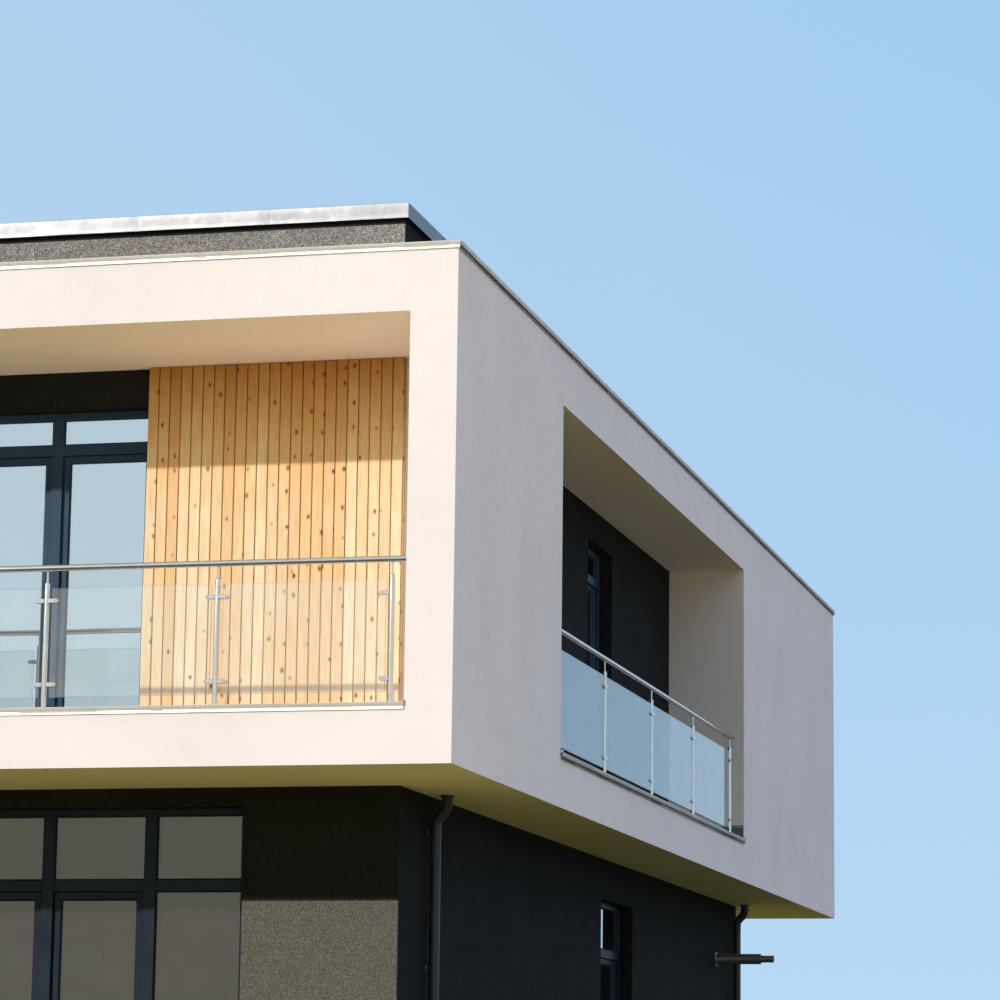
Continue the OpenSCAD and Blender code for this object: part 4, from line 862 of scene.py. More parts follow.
def board_field(low, high, dice):
    """One field of boards with an end board across both its edges, and three marks for each
    point: its board's own coordinates, its board's tone, and 1 where it lies deep in a joint,
    where the material paints shade."""
    slack = 0.0005
    count = round((high[0] - low[0]) / BOARD_PITCH)
    pitch = (high[0] - low[0]) / count
    wide = pitch - BOARD_JOINT
    solids, grain, tone, painted_shade_mask = [], [], [], []
    for i in range(count):
        x = low[0] + BOARD_JOINT / 2 + i * pitch
        solids.append(single_board(x, wide, low, high, i, i == count - 1, dice))
        points = solids[-1][0]
        own = dice.uniform(-40, 40, 3)
        grain.append(points - (x + wide / 2, low[1], 0) + own)
        tone.append(np.full(len(points), dice.beta(1.1, 1.5)))
        painted_shade_mask.append((points[:, 1] > low[1] + 0.0095).astype(float))
    for x in (low[0] + slack, high[0] - slack - BOARD_T):
        solids.append(slab((x, low[1] + BOARD_T + 0.0035, low[2] + 0.004), (x + BOARD_T,
            high[1] - slack, high[2] - 0.004), 0.002))
        points = solids[-1][0]
        grain.append(points[:, [1, 0, 2]] + dice.uniform(-40, 40, 3))
        tone.append(np.full(len(points), 0.5))
        painted_shade_mask.append(np.zeros(len(points)))
    return solids, np.concatenate(grain), np.concatenate(tone), np.concatenate(painted_shade_mask)


def timber_boards():
    """Vertical boards on both sides of the front loggia's unit, on five level battens."""
    batten_h, lowest, highest, inset, slack = 0.045, 0.12, 0.18, 0.024, 0.0005
    dice = np.random.default_rng(7)
    fields = sorted(solids_of("timber_cladding"), key=lambda box: box[0][0])
    battens = []
    for side, (low, high) in zip(("left", "right"), fields):
        boards, grain, tone, painted_shade_mask = board_field(low, high, dice)
        make_piece("larch_boards_" + side, [(boards, LARCH)],
            stands_for=["timber_cladding"], marks={"grain": grain, "tone": tone, "painted_shade_mask": painted_shade_mask})
        for z in np.linspace(low[2] + lowest, high[2] - highest, 5):
            battens.append(slab((low[0] + inset, low[1] + BOARD_T + 0.004, z),
                (high[0] - inset, high[1] - slack, z + batten_h)))
    make_piece("cladding_battens", [(battens, BATTEN)])


def folded_run(fold, thick, start, end, origin, along, outward, mitres=(0, 0), flare=0.0,
        wave=0.0, seed=0):
    """A folded sheet as a closed thin shell: the fold, a line of (out, up) points, is carried
    along the wall. Along = start - out * mitre .. end + out * mitre, so that a mitre of 1
    cuts the end at 45 degrees. The sheet stands off by flare at its last station, where it
    laps the next one, and by wave * (a sum of slow sines) between its ends."""
    fold = np.array(fold, float)
    way = np.gradient(fold, axis=0)
    normal = np.stack([-way[:, 1], way[:, 0]], -1)
    normal /= np.linalg.norm(normal, axis=1, keepdims=True)
    station_step = 0.06
    stations = max(4, int((end - start) / station_step))
    t = np.concatenate([np.linspace(0, 1, stations), [1.0]])
    lap = np.where(np.arange(len(t)) >= stations - 1, flare, 0.0)
    phase = np.random.default_rng(seed).uniform(0, math.tau, 4)
    ripple = sum(np.sin(t[:, None] * (3 + 2.3 * k) + np.arange(len(fold)) * 0.9 + phase[k])
        for k in range(4)) / 4
    ripple *= np.sin(np.pi * np.clip(t, 0, 1))[:, None]
    stand = lap[:, None] + wave * ripple
    outer = fold + normal * (thick + stand)[..., None]
    inner = fold + normal * stand[..., None]
    ring = np.concatenate([outer, inner[:, ::-1]], 1)
    first = start - ring[..., 0] * mitres[0]
    last = end + ring[..., 0] * mitres[1]
    place = first + (last - first) * t[:, None]
    origin, along, outward = (np.asarray(v, float) for v in (origin, along, outward))
    return skin(origin + place[..., None] * along + ring[..., :1] * outward
        + ring[..., 1:] * np.array((0, 0, 1.0)))


def coping_round(low, high, z, fold, thick, pitch, flare, wave):
    """Folded sheets all round a rectangle, about pitch long each, mitred at the corners."""
    made = []
    for k, (along, outward) in enumerate((((1, 0, 0), (0, -1, 0)), ((0, 1, 0), (1, 0, 0)),
            ((-1, 0, 0), (0, 1, 0)), ((0, -1, 0), (-1, 0, 0)))):
        middle = (low[:2] + high[:2]) / 2
        half = (high[:2] - low[:2]) / 2
        length, out = (half[0], half[1]) if k % 2 == 0 else (half[1], half[0])
        origin = np.array([*middle, z]) + np.array(outward) * out
        count = max(1, round(2 * length / pitch))
        cuts = np.linspace(-length, length, count + 1)
        for i in range(count):
            made.append(folded_run(fold, thick, cuts[i], cuts[i + 1], origin, along, outward,
                (int(i == 0), int(i == count - 1)), flare if i < count - 1 else 0.0, wave,
                10 * k + i))
    return made


def gap_shade_strips(out, head, foot, start, end, origin, along, outward):
    """Painted shade: pieces of dark strip in the gap below a trim, from head down to an uneven
    foot, and out from the wall by out. They stand in for the shadow in that gap."""
    piece, unevenness, shade_strip_t = 0.45, 0.006, 0.0015
    dice = np.random.default_rng(round(abs(origin[1]) * 1000) + round(end * 1000))
    cuts = np.linspace(start, end, max(2, round((end - start) / piece) + 1))
    return [folded_run([(out, foot + dice.uniform(0.0, unevenness)), (out, head)], shade_strip_t,
        cuts[i], cuts[i + 1], origin, along, outward) for i in range(len(cuts) - 1)]


# The folded trim of roof edge and kerbs: a face TRIM_OUT off the wall, a step inwards below
# it, and a drip. A fold is a line of (out, up) points from the wall's outer top edge.
SHEET_T = 0.0016
LAP = 0.0022
TRIM_OUT = 0.026
TRIM_FOOT = 0.014
TRIM_STEP = -0.024
TRIM_DRIP = TRIM_STEP - 0.022
TRIM_DEEP = 0.200
TRIM_FOLD = [(0.002 - TRIM_DEEP, 0.004), (-TRIM_DEEP / 2, 0.005), (TRIM_OUT - 0.006, 0.0055),
    (TRIM_OUT - 0.0028, 0.0035), (TRIM_OUT - 0.0034, -0.001),
    (TRIM_FOOT - 0.0008, TRIM_STEP + 0.003), (TRIM_FOOT - 0.0026, TRIM_STEP),
    (TRIM_FOOT - 0.0026, TRIM_DRIP + 0.003), (TRIM_FOOT - 0.0018, TRIM_DRIP + 0.0005)]
TRIM_WAVE = 0.0008
# Where the dark strips of painted shade sit under a trim: out from the wall, head and foot
GAP_SHADE_PLACE = (TRIM_FOOT + 0.001, TRIM_STEP - 0.001, TRIM_DRIP + 0.001)


def parapet_cap():
    """The galvanised cap on the parapet, with a drip on both sides."""
    reach, fascia, top = 0.040, 0.125, 0.033
    low, high = solids_of("parapet_front_back")[0]
    wall = high[1] - low[1]
    inner = wall + reach
    fold = [(0.002 - inner, top - 0.062), (0.002 - inner, top - 0.010),
        (0.006 - inner, top - 0.006), (-wall / 2, top - 0.004), (reach - 0.010, top - 0.001),
        (reach - 0.004, top - 0.005), (reach - 0.003, top - 0.012), (reach - 0.003, top - 0.045),
        (reach - 0.003, top - 0.085), (reach - 0.003, top - fascia + 0.012),
        (reach - 0.001, top - fascia + 0.004)]
    sheets = coping_round(PARAPET_LOW, PARAPET_HIGH, PARAPET_HIGH[2], fold[::-1], SHEET_T,
        pitch=1.03, flare=LAP, wave=0.0022)
    make_piece("parapet_cap_sheets", [(sheets, ZINC)],
        stands_for=["parapet_coping"])


def roof_edge_trims():
    """The cream trim round the roof edge, with dark strips of painted shade under it at the
    sides.
    """
    middle, half = (BOX_LOW + BOX_HIGH) / 2, (BOX_HIGH - BOX_LOW) / 2
    sheets = coping_round(BOX_LOW, BOX_HIGH, EDGE_Z, TRIM_FOLD[::-1], SHEET_T, pitch=1.85,
        flare=LAP, wave=TRIM_WAVE)
    # Painted shade: dark strips under the trim on the two sides, which lie in shade
    shade_strips = [shade_strip for side in (-1, 1) for shade_strip in gap_shade_strips(*GAP_SHADE_PLACE, -half[1], half[1],
        (middle[0] + side * half[0], middle[1], EDGE_Z), (0, 1, 0), (side, 0, 0))]
    make_piece("roof_edge_sheets", [(sheets, CREAM), (shade_strips, RUBBER)],
        stands_for=["roof_edge_coping"])


def kerb_trims():
    """The cream trim on the loggias' kerbs, cut off at the kerb's inner face and turned up
    at both ends, with dark strips of painted shade under it at the sides."""
    length, end_low, end_high, end_half = 1.8, 0.004, 0.024, 0.0015
    sheets, shade_strips = [], []
    kerb_low, kerb_high = solids_of("loggia_kerbs")[0]
    kerb_top, kerb_w = kerb_high[2], kerb_high[0] - kerb_low[0]
    fold = [(max(u, 0.002 - kerb_w), v) for u, v in TRIM_FOLD][::-1]
    for k, (low, high) in enumerate(solids_of("sill_copings")):
        turn, origin, width = seat_of(low, high)
        outward = {0: (0, -1, 0), 90: (1, 0, 0), -90: (-1, 0, 0)}[turn]
        along = {0: (1, 0, 0), 90: (0, 1, 0), -90: (0, -1, 0)}[turn]
        foot = np.array([origin[0], origin[1], kerb_top]) - np.array(outward) * TRIM_OUT
        count = max(1, round(width / length))
        cuts = np.linspace(-width / 2, width / 2, count + 1)
        for i in range(count):
            sheets.append(folded_run(fold, SHEET_T, cuts[i], cuts[i + 1], foot, along, outward,
                flare=LAP if i < count - 1 else 0.0, wave=TRIM_WAVE, seed=50 * k + i))
        # Painted shade: dark strips under the trim on the side kerbs only, which lie in shade
        if turn != 0:
            shade_strips += gap_shade_strips(*GAP_SHADE_PLACE, LAP - width / 2, width / 2 - LAP, foot, along,
                outward)
        for end in (-1, 1):
            base = foot + np.array(along) * end * (width / 2 - 0.0035)
            front = np.array(outward) * (TRIM_OUT - 0.004)
            back = np.array(outward) * (0.004 - kerb_w)
            pair = np.array([base + front, base + back])
            thin = np.abs(np.array(along)) * end_half
            sheets.append(slab(pair.min(0) - thin + (0, 0, end_low), pair.max(0) + thin
                + (0, 0, end_high), 0.0006))
    make_piece("kerb_sheets", [(sheets, CREAM), (shade_strips, RUBBER)],
        stands_for=["sill_copings"])


# Balustrade sizes. The handrail's radius and the room between post and pane come from the
# frame, and the rest repeat what the posts' solids are made of: tube, pin, flange, clamps.
RAIL_LOW, RAIL_HIGH = solids_of("front_handrail")[0]
POST_LOW, RAIL_PANE_LOW = solids_of("front_posts")[0][0], solids_of("front_glass_panels")[0][0]
RAIL_R = (RAIL_HIGH[2] - RAIL_LOW[2]) / 2
POST_R = 0.019
PIN_R = 0.007
FLANGE_R = 0.040
PANE_GAP = RAIL_PANE_LOW[0] - POST_LOW[0] - FLANGE_R
CLAMP_END = 0.090
CLAMP_H = 0.030
CLAMP_T = 0.034
CLAMP_REACH = 0.086
PIN_H = 0.085


def balustrade_clamp():
    """A glass clamp along +X from the post's axis: a root block, two jaws with a round outer
    end, rubber pads and a cap screw with its socket on either face."""
    pane_half, jaw_in = 0.006, 0.0075
    arc = np.linspace(-math.pi / 2, math.pi / 2, 9)
    radius = CLAMP_H / 2
    nose = np.stack([CLAMP_REACH - radius + radius * np.cos(arc), radius * np.sin(arc)], -1)
    jaw = np.concatenate([[(POST_R - 0.003, radius)], [(POST_R - 0.003, -radius)], nose])
    middle = jaw.mean(0)
    small = middle + (jaw - middle) * (0.975, 0.90)
    metal, rubber = [], []
    for way in (-1, 1):
        depths = np.array([jaw_in, jaw_in + 0.0005, CLAMP_T / 2 - 0.002, CLAMP_T / 2]) * way
        rings = [small, jaw, jaw, small]
        metal.append(skin(np.array([[(x, y, z) for x, z in ring]
            for y, ring in zip(depths, rings)])))
        metal.append(turned([(0, 0.0068), (0.0022, 0.0068), (0.003, 0.006), (0.003, 0.0036),
            (0.0008, 0.0034)], (CLAMP_REACH - radius, way * CLAMP_T / 2, 0), (0, way, 0), 18))
        pad = sorted((way * (pane_half + 0.0001), way * (jaw_in + 0.0002)))
        rubber.append(slab((PANE_GAP + 0.002, pad[0], 0.002 - radius),
            (CLAMP_REACH - 0.008, pad[1], radius - 0.002), 0.0005))
    metal.append(slab((POST_R - 0.004, 0.0015 - CLAMP_T / 2, 0.0015 - radius),
        (PANE_GAP - 0.002, CLAMP_T / 2 - 0.0015, radius - 0.0015), 0.001))
    return metal, rubber


def balustrade_post(height):
    """A post from its flange up: flange with eased rim and four cap screws, tube with a
    domed top, and the thin pin with its collar and saddle under the handrail."""
    screw_circle, saddle_t, saddle_angle = 0.030, 0.003, 0.9
    top = height - PIN_H
    made = [turned([(0, FLANGE_R), (0.007, FLANGE_R), (0.010, FLANGE_R - 0.003),
        (0.010, POST_R + 0.004), (0.013, POST_R + 0.001)], (0, 0, 0), sides=40),
        turned([(0.008, POST_R)] + domed(top, POST_R), (0, 0, 0), sides=32),
        turned([(top - 0.004, PIN_R + 0.004), (top + 0.004, PIN_R + 0.004),
            (top + 0.006, PIN_R)], (0, 0, 0), sides=20),
        turned([(top - 0.004, PIN_R), (height - 0.001, PIN_R)], (0, 0, 0), sides=20)]
    for quarter in range(4):
        a = math.pi / 4 + quarter * math.pi / 2
        spot = (screw_circle * math.cos(a), screw_circle * math.sin(a), 0.009)
        made.append(turned([(0, 0.0052), (0.004, 0.0052), (0.005, 0.0044), (0.005, 0.0024),
            (0.003, 0.0022)], spot, sides=12))
    arc = np.linspace(-saddle_angle, saddle_angle, 9)
    inner = np.stack([RAIL_R * np.sin(arc), RAIL_R * (1 - np.cos(arc))], -1)
    outer = np.stack([(RAIL_R + saddle_t) * np.sin(arc),
        RAIL_R - (RAIL_R + saddle_t) * np.cos(arc)], -1)
    saddle = np.concatenate([inner, outer[::-1]]) + (0, height)
    made.append(carried(saddle, [(-0.03, 0, 0), (-0.028, 0, 0), (0.028, 0, 0), (0.03, 0, 0)],
        (0, 1, 0), (0, 0, 1)))
    return made


def handrail_tubes(node):
    """Round tubes with a fine groove where two lengths meet, and a domed far end."""
    tube_length = 3.9
    tubes = []
    for low, high in solids_of(node):
        axis = 0 if high[0] - low[0] > high[1] - low[1] else 1
        length = high[axis] - low[axis]
        origin = (low + high) / 2
        origin[axis] = low[axis]
        rings = [(0, RAIL_R - 0.001), (0.001, RAIL_R)]
        count = max(2, round(length / tube_length))
        for joint in np.linspace(0, length, count + 1)[1:-1]:
            rings += [(joint - 0.0012, RAIL_R), (joint - 0.0008, RAIL_R - 0.0016),
                (joint + 0.0008, RAIL_R - 0.0016), (joint + 0.0012, RAIL_R)]
        rings += domed(length, RAIL_R)
        tubes.append(turned(rings, origin, np.eye(3)[axis], 40))
    return tubes


def balustrade(panes_node, posts_node, rail_node, prefix):
    """Posts, clamps, panes and handrail along each straight run of panels. A post stands
    PANE_GAP off both ends of every pane, with clamps on the sides where a pane is."""
    foot_z = corners(posts_node)[0][2]
    post = balustrade_post(corners(rail_node)[0][2] - foot_z)
    metal, rubber = balustrade_clamp()
    steel, pads, panes = [], [], []
    runs = {}
    for low, high in solids_of(panes_node):
        runs.setdefault(round(float(low[0]), 2) if high[0] - low[0] < 0.1 else 0.0,
            []).append((low, high))
    for run in runs.values():
        axis = 1 if run[0][1][0] - run[0][0][0] < 0.1 else 0
        turn = 90 * axis
        run.sort(key=lambda box: box[0][axis])
        middle = (run[0][0] + run[0][1]) / 2
        spots = [low[axis] - PANE_GAP for low, _ in run] + [run[-1][1][axis] + PANE_GAP]
        for index, spot in enumerate(spots):
            at = [spot, spot, foot_z]
            at[1 - axis] = middle[1 - axis]
            steel += [placed(solid, turn, at) for solid in post]
            spins = [spin for spin, wanted in ((turn + 180, index > 0),
                (turn, index < len(run))) if wanted]
            for spin in spins:
                for z in (run[0][0][2] + CLAMP_END, run[0][1][2] - CLAMP_END):
                    steel += [placed(s, spin, (at[0], at[1], z)) for s in metal]
                    pads += [placed(s, spin, (at[0], at[1], z)) for s in rubber]
        panes += [slab(low, high, 0.0012) for low, high in run]
    make_piece(prefix + "_balustrade_posts", [(steel, STEEL), (pads, RUBBER)],
        stands_for=[posts_node])
    make_piece(prefix + "_balustrade_panes", [(panes, RAIL_GLASS)],
        stands_for=[panes_node])
    make_piece(prefix + "_handrail_tube", [(handrail_tubes(rail_node), STEEL)],
        stands_for=[rail_node])


# Downpipe sizes. The foot's height comes from the frame, and the rest repeat what the pipes'
# solids are made of: a swan neck from PIPE_TOP_REACH to PIPE_REACH off the wall.
PIPE_R = 0.040
PIPE_REACH = 0.065
PIPE_TOP_REACH = 0.150
PIPE_JOINT_Z = 1.55
PIPE_FOOT = corners("downpipes")[0][2]


def swan_neck(drop, radius, angle):
    """Centre line of the two bends as (out, up) points: an arc from plumb to the slant that
    starts drop below the soffit, and an arc back to plumb at the foot of the slant. An arc
    swings in by radius * (1 - cosine of the angle), and the slant is as long as what the
    two arcs leave of the way to the wall, over the angle's sine."""
    swing = radius * (1 - math.cos(angle))
    slant = (PIPE_TOP_REACH - PIPE_REACH - 2 * swing) / math.sin(angle)
    bend = np.linspace(0, angle, 9)
    first = np.stack([PIPE_TOP_REACH - radius * (1 - np.cos(bend)),
        SOFFIT_Z - drop - radius * np.sin(bend)], -1)
    low = first[-1] - np.array([slant * math.sin(angle), slant * math.cos(angle)])
    second = np.stack([PIPE_REACH + radius * (1 - np.cos(bend[::-1])),
        low[1] - radius * (math.sin(angle) - np.sin(bend[::-1]))], -1)
    return first, second


def downpipe():
    """A downpipe on the wall X = 0: a swept round tube with socket beads at its joints and a
    cover ring at the soffit."""
    first, second = swan_neck(drop=0.060, radius=0.100, angle=math.pi / 4)
    line = np.concatenate([[(PIPE_TOP_REACH, SOFFIT_Z)], first, second,
        [(PIPE_REACH, PIPE_FOOT)]])
    path = np.stack([line[:, 0], np.zeros(len(line)), line[:, 1]], -1)
    along = np.gradient(path, axis=0)
    along[[0, 1, -2, -1]] = (0, 0, -1)
    along /= np.linalg.norm(along, axis=1, keepdims=True)
    theta = np.arange(32) * math.tau / 32
    circle = np.stack([np.cos(theta), np.sin(theta)], -1)
    sideways = np.cross(along, (0, 1, 0))
    made = [carried(circle * PIPE_R, path, (0, 1, 0), sideways)]
    socket = [(-0.015, PIPE_R), (-0.014, PIPE_R + 0.003), (-0.004, PIPE_R + 0.003),
        (-0.002, PIPE_R + 0.0045), (0.004, PIPE_R + 0.0045), (0.006, PIPE_R + 0.003),
        (0.014, PIPE_R + 0.003), (0.015, PIPE_R)]
    bend_ends = (1, len(first), len(first) + 1, len(first) + len(second))
    for spot in bend_ends:
        made.append(turned(socket, path[spot], along[spot], 32))
    made.append(turned(socket, (PIPE_REACH, 0, PIPE_JOINT_Z), (0, 0, 1), 32))
    made.append(turned([(0, PIPE_R), (0, PIPE_R + 0.012), (0.012, PIPE_R + 0.012),
        (0.016, PIPE_R + 0.008)], (PIPE_TOP_REACH, 0, SOFFIT_Z - 0.016), (0, 0, 1), 32))
    return made


def pipe_bracket():
    """A two-part ring with a lug on either side, on a stem and a wall plate."""
    band, high = 0.0025, 0.026
    theta = np.arange(40) * math.tau / 40
    ring = np.stack([np.cos(theta), np.sin(theta)], -1)
    shell = np.array([(PIPE_R, 0), (PIPE_R + band, 0.001), (PIPE_R + band, high - 0.001),
        (PIPE_R, high)])
    made = [skin(np.stack([PIPE_REACH + ring[:, :1] * shell[None, :, 0],
        ring[:, 1:] * shell[None, :, 0], np.broadcast_to(shell[:, 1], (40, 4))], -1), True)]
    for way in (-1, 1):
        y = sorted((way * (PIPE_R + 0.001), way * (PIPE_R + 0.006)))
        made.append(slab((PIPE_REACH - 0.004, y[0], 0.002), (PIPE_REACH + 0.004, y[1],
            high - 0.002), 0.0008))
    made.append(turned([(0.0, 0.018), (0.003, 0.018), (0.004, 0.016), (0.004, 0.005),
        (PIPE_REACH - PIPE_R, 0.005)], (0, 0, high / 2), (1, 0, 0), 20))
    return made


def pipes():
    """The four downpipes with their brackets, two on the right wall and their mirror images
    on the left."""
    tubes, bands = [], []
    places = sorted({round(float((low[1] + high[1]) / 2), 3)
        for low, high in solids_of("downpipes")})
    levels = sorted({round(float(low[2]), 3) for low, _ in solids_of("pipe_brackets")})
    for y in places:
        one = [placed(s, 0, (CORE_X, y, 0)) for s in downpipe()]
        clips = [placed(s, 0, (CORE_X, y, z)) for z in levels for s in pipe_bracket()]
        tubes += one + [mirrored(s) for s in one]
        bands += clips + [mirrored(s) for s in clips]
    make_piece("rain_downpipes", [(tubes, PIPE)], stands_for=["downpipes"])
    make_piece("downpipe_clips", [(bands, PIPE)],
        stands_for=["pipe_brackets"])


def flue():
    """The boiler's flue: a wall plate, an air pipe, and the exhaust pipe in it, whose tip
    has four grooves and a rolled mouth."""
    low, high = corners("boiler_flue")
    middle = (low + high) / 2
    outer, inner, tip, plate = 0.055, 0.038, 0.140, 0.080
    length = high[0] - low[0]
    shell = [(0, plate), (0.006, plate), (0.012, plate - 0.010), (0.012, outer + 0.001),
        (0.016, outer), (length - tip - 0.012, outer), (length - tip - 0.010, outer + 0.002),
        (length - tip, outer + 0.002), (length - tip, inner)]
    core = [(length - tip - 0.01, inner)]
    for k in range(4):
        spot = length - tip + 0.045 + 0.020 * k
        core += [(spot, inner), (spot, inner - 0.004), (spot + 0.010, inner - 0.004),
            (spot + 0.010, inner)]
    core += [(length - 0.003, inner), (length, inner - 0.003), (length, inner - 0.008),
        (length - 0.020, inner - 0.010)]
    start = (low[0], middle[1], middle[2])
    make_piece("coaxial_boiler_flue", [([turned(shell, start, (1, 0, 0), 40),
        turned(core, start, (1, 0, 0), 40)], ZINC)],
        stands_for=["boiler_flue"])


def window_sill_sheets():
    """A sloped sill of folded sheet with turned-up ends and a drip, for each window."""
    sheet_t, end_t, end_h = 0.0015, 0.002, 0.016
    made = []
    for low, high in solids_of("window_sills"):
        turn, origin, width = seat_of(low, high)
        deep = min(high[0] - low[0], high[1] - low[1])
        top = high[2] - low[2]
        fold = [(0.002, 0.001), (0.001, 0.006), (0.001, top - 0.018), (0.004, top - 0.013),
            (deep - 0.004, top - 0.003), (deep - 0.001, top)]
        line = np.array(fold)
        sheet = np.concatenate([line, (line + (sheet_t, -sheet_t))[::-1]])
        ends = [(0.001 - width / 2, 0, 0), (width / 2 - 0.001, 0, 0)]
        made.append(placed(carried(sheet, ends, (0, 1, 0), (0, 0, 1)), turn, origin))
        for end in (-1, 1):
            x0, x1 = sorted((end * width / 2, end * (width / 2 - end_t)))
            made.append(placed(slab((x0, 0.004, top - end_h), (x1, deep - 0.002, top), 0.0005),
                turn, origin))
    make_piece("window_sill_sheets", [(made, CREAM)],
        stands_for=["window_sills"])


def upstrip_trims():
    """Clamping bars with screws along the top of the turned-up waterproofing, on its face
    towards the loggia. That face looks forwards on the front loggia's wall and on a side
    loggia's back wall, and backwards on a side loggia's front wall."""
    bar_t, bar_h, screw_step = 0.003, 0.028, 0.15
    made = []
    for low, high in solids_of("loggia_upstrips"):
        forwards = low[1] < CORE_FRONT + 0.02 or high[1] > 0
        face, way = (low[1], -1) if forwards else (high[1], 1)
        y = sorted((face, face + way * bar_t))
        top = high[2] - 0.002
        made.append(slab((low[0] + 0.005, y[0], top - bar_h), (high[0] - 0.005, y[1], top),
            0.0008))
        for x in np.arange(low[0] + 0.06, high[0] - 0.03, screw_step):
            made.append(turned([(0, 0.005), (0.002, 0.005), (0.003, 0.003)],
                (x, face + way * bar_t, top - bar_h / 2), (0, way, 0), 12))
    make_piece("upstrip_clamping_bars", [(made, ZINC)])


def kerb_upstands():
    """Dark sheet turned up the loggias' cheeks over both ends of each side kerb, held by a
    zinc-coated strip."""
    rise, sheet, strip_h, strip_t, inset, depth = 0.135, 0.010, 0.022, 0.004, 0.004, 0.125
    trim_h = 0.007
    kerb_top = corners("loggia_kerbs")[1][2] + trim_h
    sheets, strips = [], []
    for low, high in solids_of("sill_copings"):
        turn, origin, width = seat_of(low, high)
        if turn == 0:
            continue
        side = 1 if turn > 0 else -1
        outer = side * (BOX_HIGH[0] - inset)
        xs = sorted((outer, outer - side * depth))
        for end in (-1, 1):
            wall = origin[1] + end * width / 2
            ys = sorted((wall - end * HAIR / 3, wall - end * sheet))
            sheets.append(slab((xs[0], ys[0], kerb_top), (xs[1], ys[1], kerb_top + rise),
                0.003))
            ys = sorted((wall - end * sheet, wall - end * (sheet + strip_t)))
            strips.append(slab((xs[0] + inset, ys[0], kerb_top + rise - strip_h - inset),
                (xs[1] - inset, ys[1], kerb_top + rise - inset), 0.0012))
    make_piece("kerb_end_upstands", [(sheets, BITUMEN), (strips, ZINC)])


def finish_masonry():
    """Puts a finish on every CAD node that stays in view."""
    wear(WHITE, "box_right_walls", "box_left_walls", "box_back_wall", "loggia_corner_walls",
        "loggia_end_walls", "loggia_kerbs", "roof_slab", "roof_upstands_front_back",
        "roof_upstands_sides")
    wear(SLAB, "upper_floor_slab")
    wear(CHARCOAL, "ground_front_wall_right", "ground_front_wall_middle",
        "ground_front_wall_left", "ground_unit_surrounds", "ground_right_wall",
        "ground_left_wall", "ground_back_wall", "front_loggia_wall", "right_loggia_wall",
        "left_loggia_wall", "parapet_front_back", "parapet_sides")
    wear(SCREED, "ground_floor_slab")
    wear(BITUMEN, "loggia_upstrips", "roof_covering")
    wear(STEEL, "door_hinges")


def make_camera():
    """The photograph's camera: yaw, pitch and roll turned into its axes. Forward = (sine of
    yaw * cosine of pitch, cosine of yaw * cosine of pitch, sine of pitch), right and up are
    turned about it by the roll, and lens = focal length in pixels * sensor / image width."""
    forward = Vector((math.sin(CAMERA_YAW) * math.cos(CAMERA_PITCH),
        math.cos(CAMERA_YAW) * math.cos(CAMERA_PITCH), math.sin(CAMERA_PITCH)))
    right = Vector((math.cos(CAMERA_YAW), -math.sin(CAMERA_YAW), 0))
    up = right.cross(forward)
    rolled_right = right * math.cos(CAMERA_ROLL) + up * math.sin(CAMERA_ROLL)
    rolled_up = up * math.cos(CAMERA_ROLL) - right * math.sin(CAMERA_ROLL)
    data = bpy.data.cameras.new("camera")
    data.sensor_width = SENSOR_MM
    data.lens = FOCAL_PIXELS * SENSOR_MM / IMAGE_PIXELS
    data.clip_end = 2000
    camera = bpy.data.objects.new("camera", data)
    bpy.context.scene.collection.objects.link(camera)
    turn = Matrix((rolled_right, rolled_up, -forward)).transposed().to_4x4()
    camera.matrix_world = Matrix.Translation(CAMERA_PLACE) @ turn
    bpy.context.scene.camera = camera


def make_sun():
    """The sun lamp, low at the front left."""
    lamp = bpy.data.lights.new("sun", "SUN")
    lamp.energy = SUN_STRENGTH
    lamp.angle = SUN_SPREAD
    lamp.color = linear("FFFBFB")[:3]
    sun = bpy.data.objects.new("sun", lamp)
    sun.rotation_euler = Vector(TO_SUN).to_track_quat("Z", "Y").to_euler()
    bpy.context.scene.collection.objects.link(sun)


def make_sky():
    """A pale sky. Its light grows from the horizon to the height where it is full, and is
    stronger on the side away from the sun, where the house has no sunlight. Camera, mirror
    and glass rays see a plain blue instead, paler towards the sun."""
    full_height = 0.6
    world = bpy.data.worlds.new("sky")
    bpy.context.scene.world = world
    world.use_nodes = True
    world.node_tree.nodes.clear()
    add = partial(add_node, world.node_tree)
    way = add("TexCoord")["Generated"]
    height = add("SeparateXYZ", {0: way})[2]
    rise = add("MapRange", {0: height, 1: 0.0, 2: full_height})[0]
    glow = add("Mix", {0: rise, 6: linear("B3BCD1"), 7: linear("C0CFEF")},
        data_type="RGBA")[2]
    power = add("MapRange", {0: rise, 3: 0.94, 4: 1.35})[0]
    sunward = add("VectorMath", {0: way, 1: Vector(TO_SUN).normalized()},
        operation="DOT_PRODUCT")["Value"]
    veil = add("MapRange", {0: sunward, 1: -0.3, 2: 0.75, 3: 1.22, 4: 0.55})[0]
    power = add("Math", {0: power, 1: veil}, operation="MULTIPLY")[0]
    haze = add("MapRange", {0: sunward, 1: -0.6, 2: 0.5})[0]
    blue = add("Mix", {0: rise, 6: linear("BADBF4"), 7: linear("7FB8EA")},
        data_type="RGBA")[2]
    pale = add("Mix", {0: rise, 6: linear("E6ECEC"), 7: linear("C6DCEB")},
        data_type="RGBA")[2]
    shown = add("Mix", {0: haze, 6: blue, 7: pale}, data_type="RGBA")[2]
    ray = add("LightPath")
    seen = add("Math", {0: ray["Is Camera Ray"], 1: ray["Is Glossy Ray"]},
        operation="MAXIMUM")[0]
    seen = add("Math", {0: seen, 1: ray["Is Transmission Ray"]}, operation="MAXIMUM")[0]
    add("OutputWorld", {0: add("MixShader", {0: seen,
        1: add("Background", {0: glow, 1: power})[0],
        2: add("Background", {0: shown, 1: 1.0})[0]})[0]})


